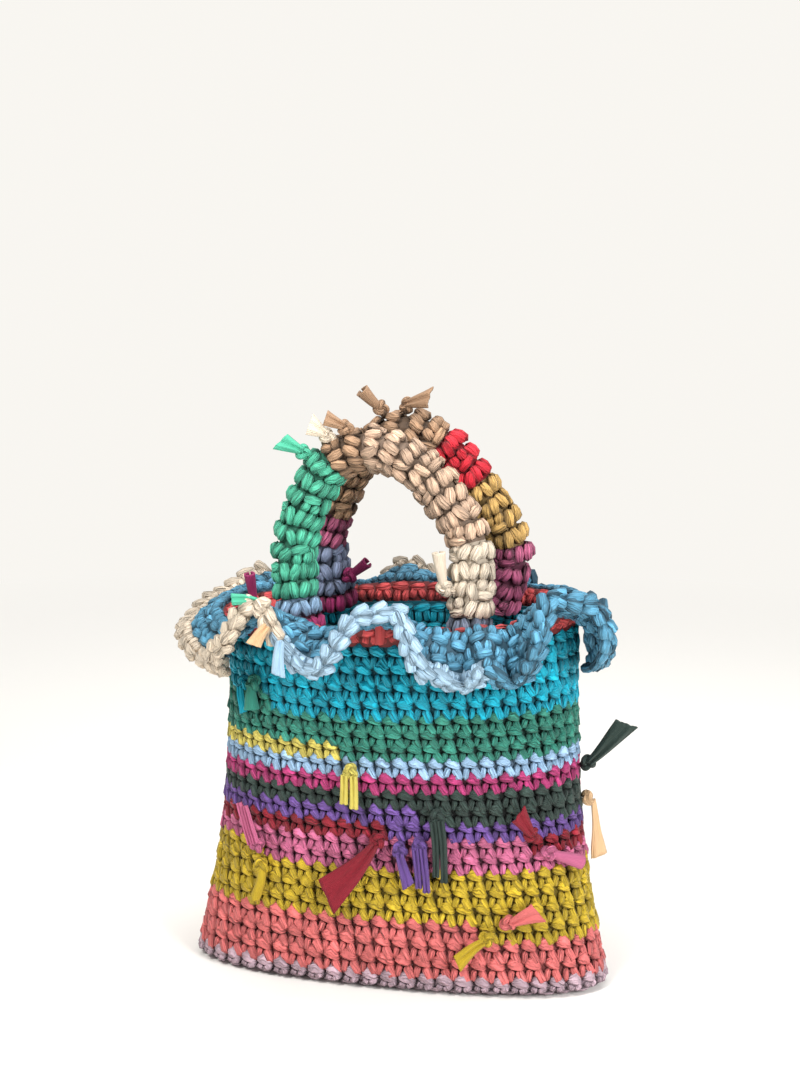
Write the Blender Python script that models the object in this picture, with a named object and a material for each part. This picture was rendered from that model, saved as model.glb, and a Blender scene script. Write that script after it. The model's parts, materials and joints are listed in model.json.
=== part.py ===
"""A crocheted handbag in thick jersey yarn: an oval base, a wall worked as one long
spiral of stitches in twelve yarns, a gathered frill on the rim, two tubular handles,
and the knots and loose ends where one yarn is tied to the next.

Sizes are millimetres, turned into metres as each mesh is made. The origin is the
middle of the underside, +Z is up, and the front of the bag faces -Y.
"""

import math

import bmesh
import bpy
from mathutils import Vector
from mathutils.bvhtree import BVHTree

MM = 0.001

# The spiral of stitches: worked to the right as seen from the front, seam at the back
STITCH_PAIRS = 26
STITCHES = 2 * STITCH_PAIRS
DRIFT = 1 / 6
CLIMB_START = 0.8
ROUND_COUNTS = (1, 3, 3, 7, 3, 4)
ROUND_HEIGHTS = (15.0, 13.0, 11.7, 11.0, 9.7, 12.0)

# The body
BASE_HALF_LENGTH = 145.3
RIM_HALF_LENGTH = 119.0
FLARE_HEIGHT = 85.0
FLARE_POWER = 1.3
BASE_HALF_DEPTH = 53.0
RIM_HALF_DEPTH = 72.5
BULGE_POWER = 1.5
BASE_SQUARENESS = 2.38
RIM_SQUARENESS = 2.0
LEAN_TO_THE_RIGHT = 0.054
WALL = 12.0
FLOOR = 11.0
STITCH_RELIEF = 3.0
GAP = 0.3
LAST_STITCH_HEIGHT = 3.5

# The frill on the rim
FRILL_WIDTH = 52.0
FRILL_ROUNDS = 4
FRILL_THICKNESS = 8.5
FRILL_ROOT_THICKNESS = 5.6
FRILL_ROOT_INSET = 3.4
FRILL_ROOT_SHARE = 0.25
FRILL_CURL_SHARE = 0.42
FRILL_STEPS = 4
FRILL_GAP = 0.5
FRILL_RELIEF = 0.8
NEAR_ALONG = 0.002
NEAR_ACROSS = 0.05
SAME_PLACE = 1e-6

# The handles
HANDLE_RADIUS = 15.0
HANDLE_RELIEF = 2.4
HANDLE_SIDES = 10
HANDLE_ROW = 12.0
HANDLE_GAP = 0.4
HANDLE_FEWEST_ROWS = 8

# The loose ends
KNOT_WIDTH = 10.5
KNOT_LENGTH = 9.0
NECK_WIDTH = 5.5
JERSEY_THICKNESS = 2.4
KNOT_LIFT = 7.5
LONGEST_KNOT_SHARE = 0.4
CARRIER_RISE = 0.6
STRIP_STEPS = 3
SEAT_STEP = 0.5
SEAT_REACH = 14.0
SEAT_HALVINGS = 8
SEAT_GAP = 0.35

# Steps between the given points of a smooth curve
CURVE_STEPS = 6

COLOURS = {
    "mauve": (178, 152, 163),
    "coral": (235, 120, 118),
    "mustard": (198, 178, 48),
    "orchid": (205, 110, 160),
    "crimson": (150, 25, 50),
    "purple": (110, 85, 160),
    "slate_green": (65, 85, 75),
    "magenta": (195, 60, 125),
    "baby_blue": (170, 200, 230),
    "lime": (205, 190, 90),
    "jade": (50, 130, 100),
    "turquoise": (0, 160, 185),
    "frill_coral": (225, 85, 85),
    "petrol": (75, 125, 150),
    "cream": (235, 215, 190),
    "light_blue": (190, 215, 235),
    "mint": (50, 185, 140),
    "beige": (200, 175, 145),
    "tan": (170, 135, 105),
    "red": (220, 25, 50),
    "ochre": (190, 150, 75),
    "lavender": (125, 135, 165),
    "grey_blue": (110, 120, 140),
    "apricot": (235, 175, 110),
}

# Where each yarn of the wall is tied on: its round, and how far round from the seam
YARN_STARTS = (
    ("coral", 1, 0.0),
    ("mustard", 3, 0.62),
    ("orchid", 7, 0.358),
    ("crimson", 8, 0.68),
    ("purple", 9, 0.508),
    ("slate_green", 10, 0.55),
    ("magenta", 11, 0.765),
    ("baby_blue", 12, 0.85),
    ("lime", 13, 0.9),
    ("jade", 14, 0.465),
    ("turquoise", 17, 0.358),
)

# The frill's waves: place on the rim in shares of the way round, and its lean out in degrees
FRILL_WAVES = (
    (0.000, 100), (0.030, 82), (0.075, 130), (0.110, 80), (0.142, 126), (0.172, 82),
    (0.210, 106), (0.250, 127), (0.320, 170), (0.354, 118), (0.390, 62), (0.450, 134),
    (0.500, 68), (0.526, 64), (0.556, 135), (0.590, 172), (0.607, 135), (0.634, 172),
    (0.662, 58), (0.694, 72), (0.732, 172), (0.785, 168), (0.835, 114), (0.876, 138),
    (0.917, 90), (0.960, 128),
)

# The frill's last round: each yarn, from where to where
FRILL_EDGES = (
    ("frill_edge_cream", "cream", 0.917, 1.420),
    ("frill_edge_light_blue", "light_blue", 0.420, 0.607),
    ("frill_edge_petrol", "petrol", 0.607, 0.917),
)

# The handles: the middle line as x and height above the rim, and where each yarn ends
# along it, in shares
FRONT_HANDLE_FEET = (0.388, 0.603)
FRONT_HANDLE_LINE = ((-66, 49), (-57, 84), (-42, 111), (-15, 121), (14, 112), (36, 90), (54, 59))
FRONT_HANDLE_YARNS = (
    ("magenta", 0.035), ("baby_blue", 0.075), ("mint", 0.385), ("tan", 0.5),
    ("beige", 0.79), ("cream", 0.945), ("grey_blue", 1.0),
)
BACK_HANDLE_FEET = (0.108, 0.895)
BACK_HANDLE_LINE = ((-64, 43), (-54, 79), (-35, 109), (-5, 125), (24, 112), (48, 82), (66, 43))
BACK_HANDLE_YARNS = (
    ("magenta", 0.04), ("lavender", 0.17), ("orchid", 0.25), ("tan", 0.585),
    ("red", 0.68), ("ochre", 0.85), ("orchid", 1.0),
)
HANDLE_LEAN = 12.0

# Loose ends on the wall: places as share of the way round, height and lift off the wall,
# then the width at the free end and how far the strip is cupped
WALL_ENDS = (
    ("end_coral", "coral", ((0.627, 52, 0), (0.645, 57, 1), (0.664, 62, 3)), 15, 4),
    ("end_mustard", "mustard", ((0.617, 46, 0), (0.598, 38, 0), (0.580, 27, 2)), 11, 3),
    ("end_mustard_leaf", "mustard", ((0.360, 86, 0), (0.364, 73, 2), (0.357, 57, 1)), 7, 5),
    ("end_orchid_strip", "orchid", ((0.359, 92, 0), (0.350, 106, 1), (0.338, 126, 2)), 9, 4),
    ("end_crimson_flared", "crimson", ((0.503, 113, 0), (0.478, 91, 2), (0.446, 69, 5)), 24, 5),
    ("end_purple_left", "purple", ((0.521, 108, 0), (0.526, 95, 2), (0.533, 80, 3)), 9, 4),
    ("end_purple_right", "purple", ((0.543, 112, 0), (0.546, 95, 3), (0.548, 76, 4)), 9, 4),
    ("end_slate_green", "slate_green", ((0.562, 131, 0), (0.566, 110, 4), (0.566, 83, 3)), 9, 4),
    ("end_crimson_tube", "crimson", ((0.668, 109, 0), (0.659, 118, 2), (0.648, 130, 4)), 13, 6),
    ("end_orchid_tube", "orchid", ((0.676, 101, 0), (0.694, 96, 2), (0.714, 90, 4)), 10, 8),
    ("end_apricot", "apricot", ((0.762, 128, 0), (0.764, 110, 2), (0.768, 84, 4)), 12, 5),
    ("end_lime", "lime", ((0.469, 161, 0), (0.469, 148, 2), (0.468, 132, 2)), 12, 4),
    ("end_jade_tube", "jade", ((0.352, 216, 0), (0.350, 206, 3), (0.352, 194, 4)), 11, 9),
    ("end_turquoise", "turquoise", ((0.334, 214, 0), (0.335, 203, 1), (0.338, 190, 1)), 7, 4),
)

# Loose ends clear of the wall: what carries them and where on it, places measured from
# there as x, y and height, the way the flat side faces,
# the way to the seat, then the width at the free end and how far the strip is cupped
FREE_ENDS = (
    (
        "end_slate_flared", "slate_green", "wall", 0.755,
        ((11, 1, 0), (24, 0, 14), (40, -1, 34)), (0.2, -1, 0), (-1, 0, 0), 15, 6,
    ),
    (
        "end_mint", "mint", "front", 0.38,
        ((-16, -8, 15), (-24, -9, 19), (-35, -9, 23)), (0.1, -1, 0.4), (0.7, 0, -0.7), 13, 5,
    ),
    (
        "end_cream_top", "cream", "front", 0.425,
        ((-12, -7, 22), (-18, -8, 26), (-27, -9, 31)), (0.2, -1, 0.5), (0.5, 0, -0.8), 15, 7,
    ),
    (
        "end_tan_front", "tan", "front", 0.465,
        ((-5, -7, 25), (-13, -8, 28), (-22, -9, 32)), (0.3, -1, 0.5), (0.1, 0, -1), 11, 5,
    ),
    (
        "end_tan_back", "tan", "back", 0.495,
        ((-3, 2, 25), (7, -3, 29), (20, -7, 33)), (0, -1, 0.4), (0, 0, -1), 14, 7,
    ),
    (
        "end_tan_tube", "tan", "back", 0.47,
        ((-9, 3, 25), (-16, -2, 31), (-24, -6, 40)), (0.3, -1, 0.3), (0.2, 0, -1), 10, 9,
    ),
    (
        "end_cream_tube", "cream", "front", 0.915,
        ((-14, -29, 3), (-17, -30, 17), (-19, -30, 31)), (0.2, -1, 0), (0, 1, 0), 9, 8,
    ),
    (
        "end_magenta_tube", "magenta", "back", 0.07,
        ((16, -17, 2), (24, -18, 8), (33, -19, 15)), (0, -1, 0.5), (-0.4, 1, 0), 8, 7,
    ),
)


def srgb_to_linear(value):
    share = value / 255
    return share / 12.92 if share <= 0.04045 else ((share + 0.055) / 1.055) ** 2.4


def yarn_material(name):
    """Matt cotton jersey in the yarn's own colour."""
    material = bpy.data.materials.get(f"yarn_{name}")
    if material:
        return material
    material = bpy.data.materials.new(f"yarn_{name}")
    material.use_nodes = True
    shader = material.node_tree.nodes["Principled BSDF"]
    colour = [srgb_to_linear(value) for value in COLOURS[name]]
    shader.inputs["Base Color"].default_value = (*colour, 1)
    shader.inputs["Roughness"].default_value = 0.85
    shader.inputs["Metallic"].default_value = 0
    material.diffuse_color = (*colour, 1)
    return material


MADE = []


def seated(points, faces, direction):
    """The points moved along a direction until the piece all but touches what is already made."""
    corners, polygons = [], []
    for made_points, made_faces in MADE:
        start = len(corners)
        corners += made_points
        polygons += [[start + index for index in face] for face in made_faces]
    carrier = BVHTree.FromPolygons(corners, polygons)

    def clear(distance):
        moved = [point + direction * distance for point in points]
        return not BVHTree.FromPolygons(moved, faces).overlap(carrier)

    reach = 0.0
    while clear(reach + SEAT_STEP) and reach < SEAT_REACH:
        reach += SEAT_STEP
    low, high = reach, reach + SEAT_STEP
    for _ in range(SEAT_HALVINGS):
        middle = (low + high) / 2
        low, high = (middle, high) if clear(middle) else (low, middle)
    return [point + direction * (low - SEAT_GAP) for point in points]


def add_piece(name, yarn, points, faces):
    """One closed solid from points in millimetres; faces may wind either way round."""
    MADE.append((points, faces))
    work = bmesh.new()
    made = [work.verts.new(Vector(point) * MM) for point in points]
    for face in faces:
        work.faces.new([made[index] for index in face])
    bmesh.ops.recalc_face_normals(work, faces=work.faces)
    mesh = bpy.data.meshes.new(name)
    work.to_mesh(mesh)
    work.free()
    mesh.materials.append(yarn_material(yarn))
    piece = bpy.data.objects.new(name, mesh)
    bpy.context.scene.collection.objects.link(piece)
    return piece


def smooth_path(points, steps):
    """Points on one smooth curve through the given ones."""
    ends = [2 * points[0] - points[1], *points, 2 * points[-1] - points[-2]]
    path = []
    for before, start, end, after in zip(ends, ends[1:], ends[2:], ends[3:]):
        for step in range(steps):
            t = step / steps
            path.append(
                0.5 * (
                    2 * start
                    + (end - before) * t
                    + (2 * before - 5 * start + 4 * end - after) * t * t
                    + (3 * start - before - 3 * end + after) * t * t * t
                )
            )
    path.append(points[-1])
    return path


def at_shares(path, shares):
    """The places at these shares of a path's length, each with the direction there."""
    lengths = [0.0]
    for start, end in zip(path, path[1:]):
        lengths.append(lengths[-1] + (end - start).length)
    found = []
    for share in shares:
        wanted = share * lengths[-1]
        index = max(1, next((i for i, length in enumerate(lengths) if length >= wanted), len(path) - 1))
        start, end = path[index - 1], path[index]
        along = (wanted - lengths[index - 1]) / (lengths[index] - lengths[index - 1])
        before = path[max(0, index - 2)]
        after = path[min(len(path) - 1, index + 1)]
        found.append((start.lerp(end, along), (after - before).normalized()))
    return found


def path_length(path):
    return sum((end - start).length for start, end in zip(path, path[1:]))


# Heights of the rounds, from the floor up
ROUND_STARTS = [0.0]
for rounds, height in zip(ROUND_COUNTS, ROUND_HEIGHTS):
    for _ in range(rounds):
        ROUND_STARTS.append(ROUND_STARTS[-1] + height)
BODY_HEIGHT = ROUND_STARTS[-1]
LAST_ROUND = len(ROUND_STARTS) - 1


def oval(height, samples=240):
    """The bag's outline at a height: points and lengths along it, from the back seam."""
    rise = height / BODY_HEIGHT
    flare = math.exp(-((height / FLARE_HEIGHT) ** FLARE_POWER))
    half_length = RIM_HALF_LENGTH + (BASE_HALF_LENGTH - RIM_HALF_LENGTH) * flare
    half_depth = BASE_HALF_DEPTH + (RIM_HALF_DEPTH - BASE_HALF_DEPTH) * rise**BULGE_POWER
    power = 2 / (BASE_SQUARENESS + (RIM_SQUARENESS - BASE_SQUARENESS) * rise)
    points = []
    for index in range(samples):
        angle = math.pi / 2 + 2 * math.pi * index / samples
        across, along = math.cos(angle), math.sin(angle)
        points.append(
            Vector((
                math.copysign(half_length * abs(across) ** power, across),
                math.copysign(half_depth * abs(along) ** power, along),
                0,
            ))
        )
    points.append(points[0].copy())
    lengths = [0.0]
    for start, end in zip(points, points[1:]):
        lengths.append(lengths[-1] + (end - start).length)
    return points, lengths


OVALS = {}


def wall_place(share, height, lift=0.0):
    """A place on the wall, lifted off its outermost face, with outward and rightward directions."""
    height = max(0.0, height)
    level = round(min(height, BODY_HEIGHT), 3)
    if level not in OVALS:
        OVALS[level] = oval(level)
    points, lengths = OVALS[level]
    wanted = (share % 1.0) * lengths[-1]
    low, high = 0, len(lengths) - 1
    while high - low > 1:
        middle = (low + high) // 2
        if lengths[middle] <= wanted:
            low = middle
        else:
            high = middle
    along = (wanted - lengths[low]) / (lengths[high] - lengths[low])
    rightward = tangent_at(points, low, along)
    outward = Vector((rightward.y, -rightward.x, 0))
    place = points[low].lerp(points[high], along) + outward * lift
    place.z = height * (1 + LEAN_TO_THE_RIGHT * place.x / BODY_HEIGHT)
    return place, outward, rightward


def tangent_at(points, index, along):
    """The direction of an outline, turning smoothly from one of its edges to the next."""
    count = len(points) - 1
    edges = [
        (points[(index + offset) % count + 1] - points[(index + offset) % count]).normalized()
        for offset in (-1, 0, 1)
    ]
    entering = edges[0] + edges[1]
    leaving = edges[1] + edges[2]
    return entering.normalized().lerp(leaving.normalized(), along).normalized()


def stitch_at(round_number, share):
    """The stitch of the spiral at this round and share of the way round, as an even count."""
    stitches = round_number * (STITCHES + DRIFT) + share * STITCHES
    return 2 * round(stitches / 2)


def share_of(stitch):
    return stitch / (STITCHES + DRIFT)


def height_of(stitch):
    """The height of the spiral under a stitch: level, with a climb of one round at the back."""
    turns = share_of(stitch)
    whole = math.floor(turns)
    climb = max(0.0, (turns - whole - CLIMB_START) / (1 - CLIMB_START))
    climb = climb * climb * (3 - 2 * climb)
    if whole >= LAST_ROUND:
        return BODY_HEIGHT
    if whole < 0:
        return 0.0
    start, end = ROUND_STARTS[whole], ROUND_STARTS[whole + 1]
    return start + climb * (end - start)


def wall_node(stitch, lift, right_shift=0.0, up_shift=0.0):
    place, _, rightward = wall_place(share_of(stitch), height_of(stitch), lift)
    return place + rightward * right_shift + Vector((0, 0, up_shift))


class Solid:
    """Named points and faces, gathered for one piece."""

    def __init__(self):
        self.points = []
        self.index = {}
        self.faces = []

    def point(self, key, place):
        if key not in self.index:
            self.index[key] = len(self.points)
            self.points.append(place)
        return self.index[key]

    def face(self, *keys):
        self.faces.append([self.index[key] for key in keys])

    def fan(self, middle, keys):
        for start, end in zip(keys, (*keys[1:], keys[0])):
            self.face(middle, start, end)


def add_lip(solid, first, last):
    """The edge face between the outer stitches and the inner wall, which has one point to two stitches."""
    for stitch in range(first, last, 2):
        solid.face(("outer", stitch), ("outer", stitch + 1), ("inner", stitch))
        solid.face(("outer", stitch + 1), ("inner", stitch + 2), ("inner", stitch))
        solid.face(("outer", stitch + 1), ("outer", stitch + 2), ("inner", stitch + 2))


def make_band(name, yarn, first, last):
    """The stretch of the wall worked with one yarn, from its first stitch up to the next yarn's."""
    solid = Solid()
    whole_turn = last - first > STITCHES
    lower_end = first + STITCHES if whole_turn else last
    upper_start = last if whole_turn else first + STITCHES

    def shifts(stitch):
        right = {first: GAP / 2, first + STITCHES: GAP / 2}.get(stitch, 0.0)
        right = {last: -GAP / 2, last + STITCHES: -GAP / 2}.get(stitch, right)
        up = GAP / 2 if first <= stitch <= lower_end else 0.0
        up = -GAP / 2 if upper_start <= stitch <= last + STITCHES else up
        return right, up

    def add_nodes(stitch):
        right, up = shifts(stitch)
        solid.point(("outer", stitch), wall_node(stitch, -STITCH_RELIEF, right, up))
        solid.point(("inner", stitch), wall_node(stitch, -WALL, right, up))

    for stitch in range(first, last):
        corners = (stitch, stitch + 1, stitch + 1 + STITCHES, stitch + STITCHES)
        for corner in corners:
            right, up = shifts(corner)
            solid.point(("outer", corner), wall_node(corner, -STITCH_RELIEF, right, up))
        height = sum(height_of(corner) for corner in corners) / 4
        middle, _, _ = wall_place(share_of(stitch + 0.5 + STITCHES / 2) - 0.5, height)
        solid.point(("bulge", stitch), middle)
        solid.fan(("bulge", stitch), [("outer", corner) for corner in corners])

    for stitch in (*range(first, lower_end + 1, 2), *range(upper_start, last + STITCHES + 1, 2)):
        add_nodes(stitch)
    add_lip(solid, first, lower_end)
    add_lip(solid, upper_start, last + STITCHES)
    for side in (first, last):
        above = side + STITCHES
        solid.face(("outer", side), ("outer", above), ("inner", above), ("inner", side))

    for left in range(first, lower_end, 2):
        right = left + 2
        if whole_turn:
            top_left = left + STITCHES * math.ceil((last - left) / STITCHES)
            ring = [left, right]
            if top_left + 2 == last + STITCHES:
                ring.append(last)
            ring += [top_left + 2, top_left]
            if left == first:
                ring.append(first + STITCHES)
        else:
            ring = [left, right, right + STITCHES, left + STITCHES]
        solid.face(*[("inner", stitch) for stitch in ring])
    return add_piece(name, yarn, solid.points, solid.faces)


def make_base(name, yarn, wall_start):
    """The oval base with the first round of the wall, which turns up from it."""
    solid = Solid()
    first = wall_start - STITCHES
    for step in range(STITCHES + 1):
        above = wall_start + step
        shift = -GAP / 2 if above in (wall_start, wall_start + STITCHES) else 0.0
        solid.point(("outer", above), wall_node(above, -STITCH_RELIEF, shift, -GAP / 2))
        if step % 2 == 0:
            solid.point(("inner", above), wall_node(above, -WALL, shift, -GAP / 2))
    for step in range(STITCHES):
        share = share_of(first + step)
        foot, _, _ = wall_place(share, 0.0, -STITCH_RELIEF)
        solid.point(("foot", step), foot)
    for step in range(0, STITCHES, 2):
        floor, _, _ = wall_place(share_of(first + step), FLOOR, -WALL)
        floor.z = FLOOR
        solid.point(("floor", step), floor)
    solid.point("under", Vector((0, 0, 0)))
    solid.point("inside", Vector((0, 0, FLOOR)))
    for step in range(STITCHES):
        above = wall_start + step
        after = (step + 1) % STITCHES
        corners = [("foot", step), ("foot", after), ("outer", above + 1), ("outer", above)]
        if after == 0:
            corners.insert(2, ("outer", wall_start))
        top = (height_of(above) + height_of(above + 1)) / 2
        middle, _, _ = wall_place(share_of(first + step + 0.5), top / 2)
        solid.point(("bulge", step), middle)
        solid.fan(("bulge", step), corners)
        solid.face("under", ("foot", step), ("foot", after))
    add_lip(solid, wall_start, wall_start + STITCHES)
    seam_top = wall_start + STITCHES
    solid.face(("outer", wall_start), ("outer", seam_top), ("inner", seam_top), ("inner", wall_start))
    for step in range(0, STITCHES, 2):
        after = (step + 2) % STITCHES
        above = wall_start + step
        ring = [("floor", step), ("floor", after), ("inner", above + 2), ("inner", above)]
        if after == 0:
            ring.insert(2, ("inner", wall_start))
        solid.face(*ring)
        solid.face("inside", ("floor", step), ("floor", after))
    return add_piece(name, yarn, solid.points, solid.faces)


def make_wall():
    starts = [(name, stitch_at(turn, share)) for name, turn, share in YARN_STARTS]
    make_base("base_mauve", "mauve", starts[0][1])
    end = stitch_at(LAST_ROUND, 0.0)
    while BODY_HEIGHT - height_of(end) < LAST_STITCH_HEIGHT:
        end -= 2
    for (name, first), (_, last) in zip(starts, (*starts[1:], ("", end))):
        make_band(f"band_{name}", name, first, last)


def frill_lean(share):
    """How far the frill leans out at this place on the rim, in radians."""
    share %= 1.0
    places = [*FRILL_WAVES, (1.0, FRILL_WAVES[0][1])]
    for (start, low), (end, high) in zip(places, places[1:]):
        if start <= share <= end:
            turn = (share - start) / (end - start)
            return math.radians(low + (high - low) * (1 - math.cos(math.pi * turn)) / 2)
    return math.radians(FRILL_WAVES[0][1])


def frill_place(share, across):
    """A place on the middle of the frill: across runs from 0 at the rim to 1 at its edge."""
    root, outward, _ = wall_place(share, BODY_HEIGHT, -FRILL_ROOT_INSET)
    lean = frill_lean(share)
    bend = lean / (FRILL_CURL_SHARE * FRILL_WIDTH)
    curled = min(across, FRILL_CURL_SHARE) * FRILL_WIDTH
    straight = max(0.0, across - FRILL_CURL_SHARE) * FRILL_WIDTH
    out = (1 - math.cos(bend * curled)) / bend + straight * math.sin(lean)
    up = math.sin(bend * curled) / bend + straight * math.cos(lean)
    return root + outward * out + Vector((0, 0, up + GAP))


def frill_side(share, across):
    """The direction through the frill's thickness, pointing away from the inside of the bag."""
    along = frill_place(share + NEAR_ALONG, across) - frill_place(share - NEAR_ALONG, across)
    low, high = max(0.0, across - NEAR_ACROSS), min(1.0, across + NEAR_ACROSS)
    up = frill_place(share, high) - frill_place(share, low)
    return along.cross(up).normalized()


def frill_shares():
    """Places of the frill's stations on the rim, with a few on each flank of a wave."""
    places = [place for place, _ in FRILL_WAVES] + [1.0]
    return [
        start + (end - start) * step / FRILL_STEPS
        for start, end in zip(places, places[1:])
        for step in range(FRILL_STEPS)
    ]


def frill_section(number, share, low, high):
    """Four corners of the frill's section at one station, between two distances from the rim."""
    corners = []
    for across, sign in ((low, -1), (high, -1), (high, 1), (low, 1)):
        full = min(1.0, across / FRILL_ROOT_SHARE)
        thickness = FRILL_ROOT_THICKNESS + (FRILL_THICKNESS - FRILL_ROOT_THICKNESS) * full
        thickness -= FRILL_RELIEF * full * (1 if number % 2 else -1)
        corners.append(frill_place(share, across) + frill_side(share, across) * sign * thickness / 2)
    return corners


def make_frill_strip(name, yarn, low, high, start, end):
    """One strip of the frill, closed into a ring where it runs all the way round."""
    shares = frill_shares()
    ring = end - start > 1.0 - SAME_PLACE
    stations = []
    for number, share in enumerate(shares * 2):
        unrolled = share + (1.0 if number >= len(shares) else 0.0)
        closing = ring and unrolled > end - SAME_PLACE
        if start - SAME_PLACE <= unrolled <= end + SAME_PLACE and not closing:
            stations.append((number, unrolled))
    points = []
    for position, (number, share) in enumerate(stations):
        section = frill_section(number, share, low, high)
        if not ring and position in (0, len(stations) - 1):
            inward = 1 if position == 0 else -1
            after = frill_place(stations[position + inward][1], (low + high) / 2)
            here = frill_place(share, (low + high) / 2)
            move = (after - here).normalized() * FRILL_GAP / 2
            section = [corner + move for corner in section]
        points += section
    count = len(stations)
    faces = []
    for position in range(count if ring else count - 1):
        after = (position + 1) % count
        for corner in range(4):
            beside = (corner + 1) % 4
            a, b = 4 * position + corner, 4 * position + beside
            c, d = 4 * after + beside, 4 * after + corner
            # The lower lip is split the same way as the upper lip of the strip it lies on
            faces += [(a, b, d), (b, c, d)] if corner == 3 else [(a, b, c), (a, c, d)]
    if not ring:
        faces += [(3, 2, 1, 0), tuple(4 * (count - 1) + corner for corner in range(4))]
    return add_piece(name, yarn, points, faces)


def make_frill():
    one = 1 / FRILL_ROUNDS
    gap = FRILL_GAP / FRILL_WIDTH
    make_frill_strip("frill_coral", "frill_coral", 0.0, one - gap / 2, 0.0, 1.0)
    make_frill_strip("frill_petrol", "petrol", one + gap / 2, 1 - one - gap / 2, 0.0, 1.0)
    for name, yarn, start, end in FRILL_EDGES:
        make_frill_strip(name, yarn, 1 - one + gap / 2, 1.0, start, end)


def handle_path(feet, line):
    """The middle line of a handle, from its left foot on the rim over the arch to its right foot."""
    inset = FRILL_ROOT_INSET + FRILL_ROOT_THICKNESS / 2 + GAP + HANDLE_RADIUS
    left, _, _ = wall_place(feet[0], BODY_HEIGHT, -inset)
    right, _, _ = wall_place(feet[1], BODY_HEIGHT, -inset)
    lift = Vector((0, 0, GAP))
    top = max(height for _, height in line)
    route = [left + lift]
    for x, height in line:
        share = (x - left.x) / (right.x - left.x)
        depth = left.y + (right.y - left.y) * share
        lean = math.copysign(HANDLE_LEAN, depth) * height / top
        route.append(Vector((x, depth - lean, BODY_HEIGHT + height)))
    route.append(right + lift)
    return smooth_path(route, CURVE_STEPS)


def handle_ring(place, direction, number, foot):
    """One ring of the handle's surface, its stitches standing proud in turn."""
    across = (Vector((0, 1, 0)) - direction * direction.y).normalized()
    beside = direction.cross(across)
    ring = []
    for side in range(HANDLE_SIDES):
        angle = 2 * math.pi * side / HANDLE_SIDES
        proud = (side + number) % 2 == 0
        radius = HANDLE_RADIUS if proud else HANDLE_RADIUS - HANDLE_RELIEF
        if foot:
            radius = HANDLE_RADIUS
        point = place + (beside * math.cos(angle) + across * math.sin(angle)) * radius
        if foot:
            point.z = place.z + (point.x - place.x) * LEAN_TO_THE_RIGHT
        ring.append(point)
    return ring


def make_handle(side, feet, line, yarns):
    path = handle_path(feet, line)
    rows = max(HANDLE_FEWEST_ROWS, round(path_length(path) / HANDLE_ROW))
    start = 0
    seen = {}
    for position, (yarn, share) in enumerate(yarns):
        end = max(start + 1, round(share * rows))
        if position == len(yarns) - 1:
            end = rows
        places = at_shares(path, [row / rows for row in range(start, end + 1)])
        points = []
        for offset, (place, direction) in enumerate(places):
            row = start + offset
            foot = row in (0, rows)
            if foot:
                direction = Vector((0, 0, 1 if row == 0 else -1))
            move = 0.0
            if offset == 0 and row > 0:
                move = HANDLE_GAP / 2
            if offset == len(places) - 1 and row < rows:
                move = -HANDLE_GAP / 2
            points += handle_ring(place + direction * move, direction, row, foot)
        faces = [tuple(range(HANDLE_SIDES))]
        last = (len(places) - 1) * HANDLE_SIDES
        faces.append(tuple(last + index for index in range(HANDLE_SIDES)))
        for row in range(len(places) - 1):
            for index in range(HANDLE_SIDES):
                beside = (index + 1) % HANDLE_SIDES
                a, b = row * HANDLE_SIDES + index, row * HANDLE_SIDES + beside
                faces += [(a, b, b + HANDLE_SIDES), (a, b + HANDLE_SIDES, a + HANDLE_SIDES)]
        seen[yarn] = seen.get(yarn, 0) + 1
        suffix = "" if seen[yarn] == 1 else f"_{seen[yarn]}"
        add_piece(f"{side}_handle_{yarn}{suffix}", yarn, points, faces)
        start = end


def make_end(name, yarn, route, facing, inward, width, cup):
    """A knot with its loose end: a bead, a neck, and a strip of jersey curling to its free end."""
    path = smooth_path(route, CURVE_STEPS)
    length = path_length(path)
    knot = min(LONGEST_KNOT_SHARE, KNOT_LENGTH / length)
    stations = [
        (0.0, KNOT_WIDTH / 2, KNOT_WIDTH / 2, KNOT_WIDTH / 2),
        (knot / 2, KNOT_WIDTH, KNOT_WIDTH, KNOT_WIDTH),
        (knot, NECK_WIDTH, NECK_WIDTH, NECK_WIDTH),
    ]
    for step in range(1, STRIP_STEPS + 1):
        share = step / STRIP_STEPS
        wide = NECK_WIDTH + (width - NECK_WIDTH) * share
        deep = NECK_WIDTH + (cup + JERSEY_THICKNESS - NECK_WIDTH) * share
        thick = NECK_WIDTH + (JERSEY_THICKNESS - NECK_WIDTH) * share
        stations.append((knot + (1 - knot) * share, wide, deep, thick))
    points = []
    places = at_shares(path, [share for share, _, _, _ in stations])
    for (place, direction), (_, wide, deep, thick), face in zip(places, stations, facing):
        up = (face - direction * face.dot(direction)).normalized()
        across = direction.cross(up)
        crest = deep / 2
        points += [
            place - across * wide / 2 - up * (deep - thick) / 2,
            place + up * crest,
            place + across * wide / 2 - up * (deep - thick) / 2,
            place + up * (crest - thick),
        ]
    faces = [(0, 1, 2, 3)]
    for station in range(len(stations) - 1):
        for corner in range(4):
            beside = (corner + 1) % 4
            a, b = 4 * station + corner, 4 * station + beside
            faces += [(a, b, b + 4), (a, b + 4, a + 4)]
    faces.append(tuple(4 * (len(stations) - 1) + corner for corner in range(4)))
    return add_piece(name, yarn, seated(points, faces, inward), faces)


def carrier_place(carrier, share):
    """The point of the wall or a handle that a loose end's places are measured from."""
    if carrier == "wall":
        return wall_place(share, CARRIER_RISE * BODY_HEIGHT)[0]
    feet, line = {
        "front": (FRONT_HANDLE_FEET, FRONT_HANDLE_LINE),
        "back": (BACK_HANDLE_FEET, BACK_HANDLE_LINE),
    }[carrier]
    return at_shares(handle_path(feet, line), [share])[0][0]


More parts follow.
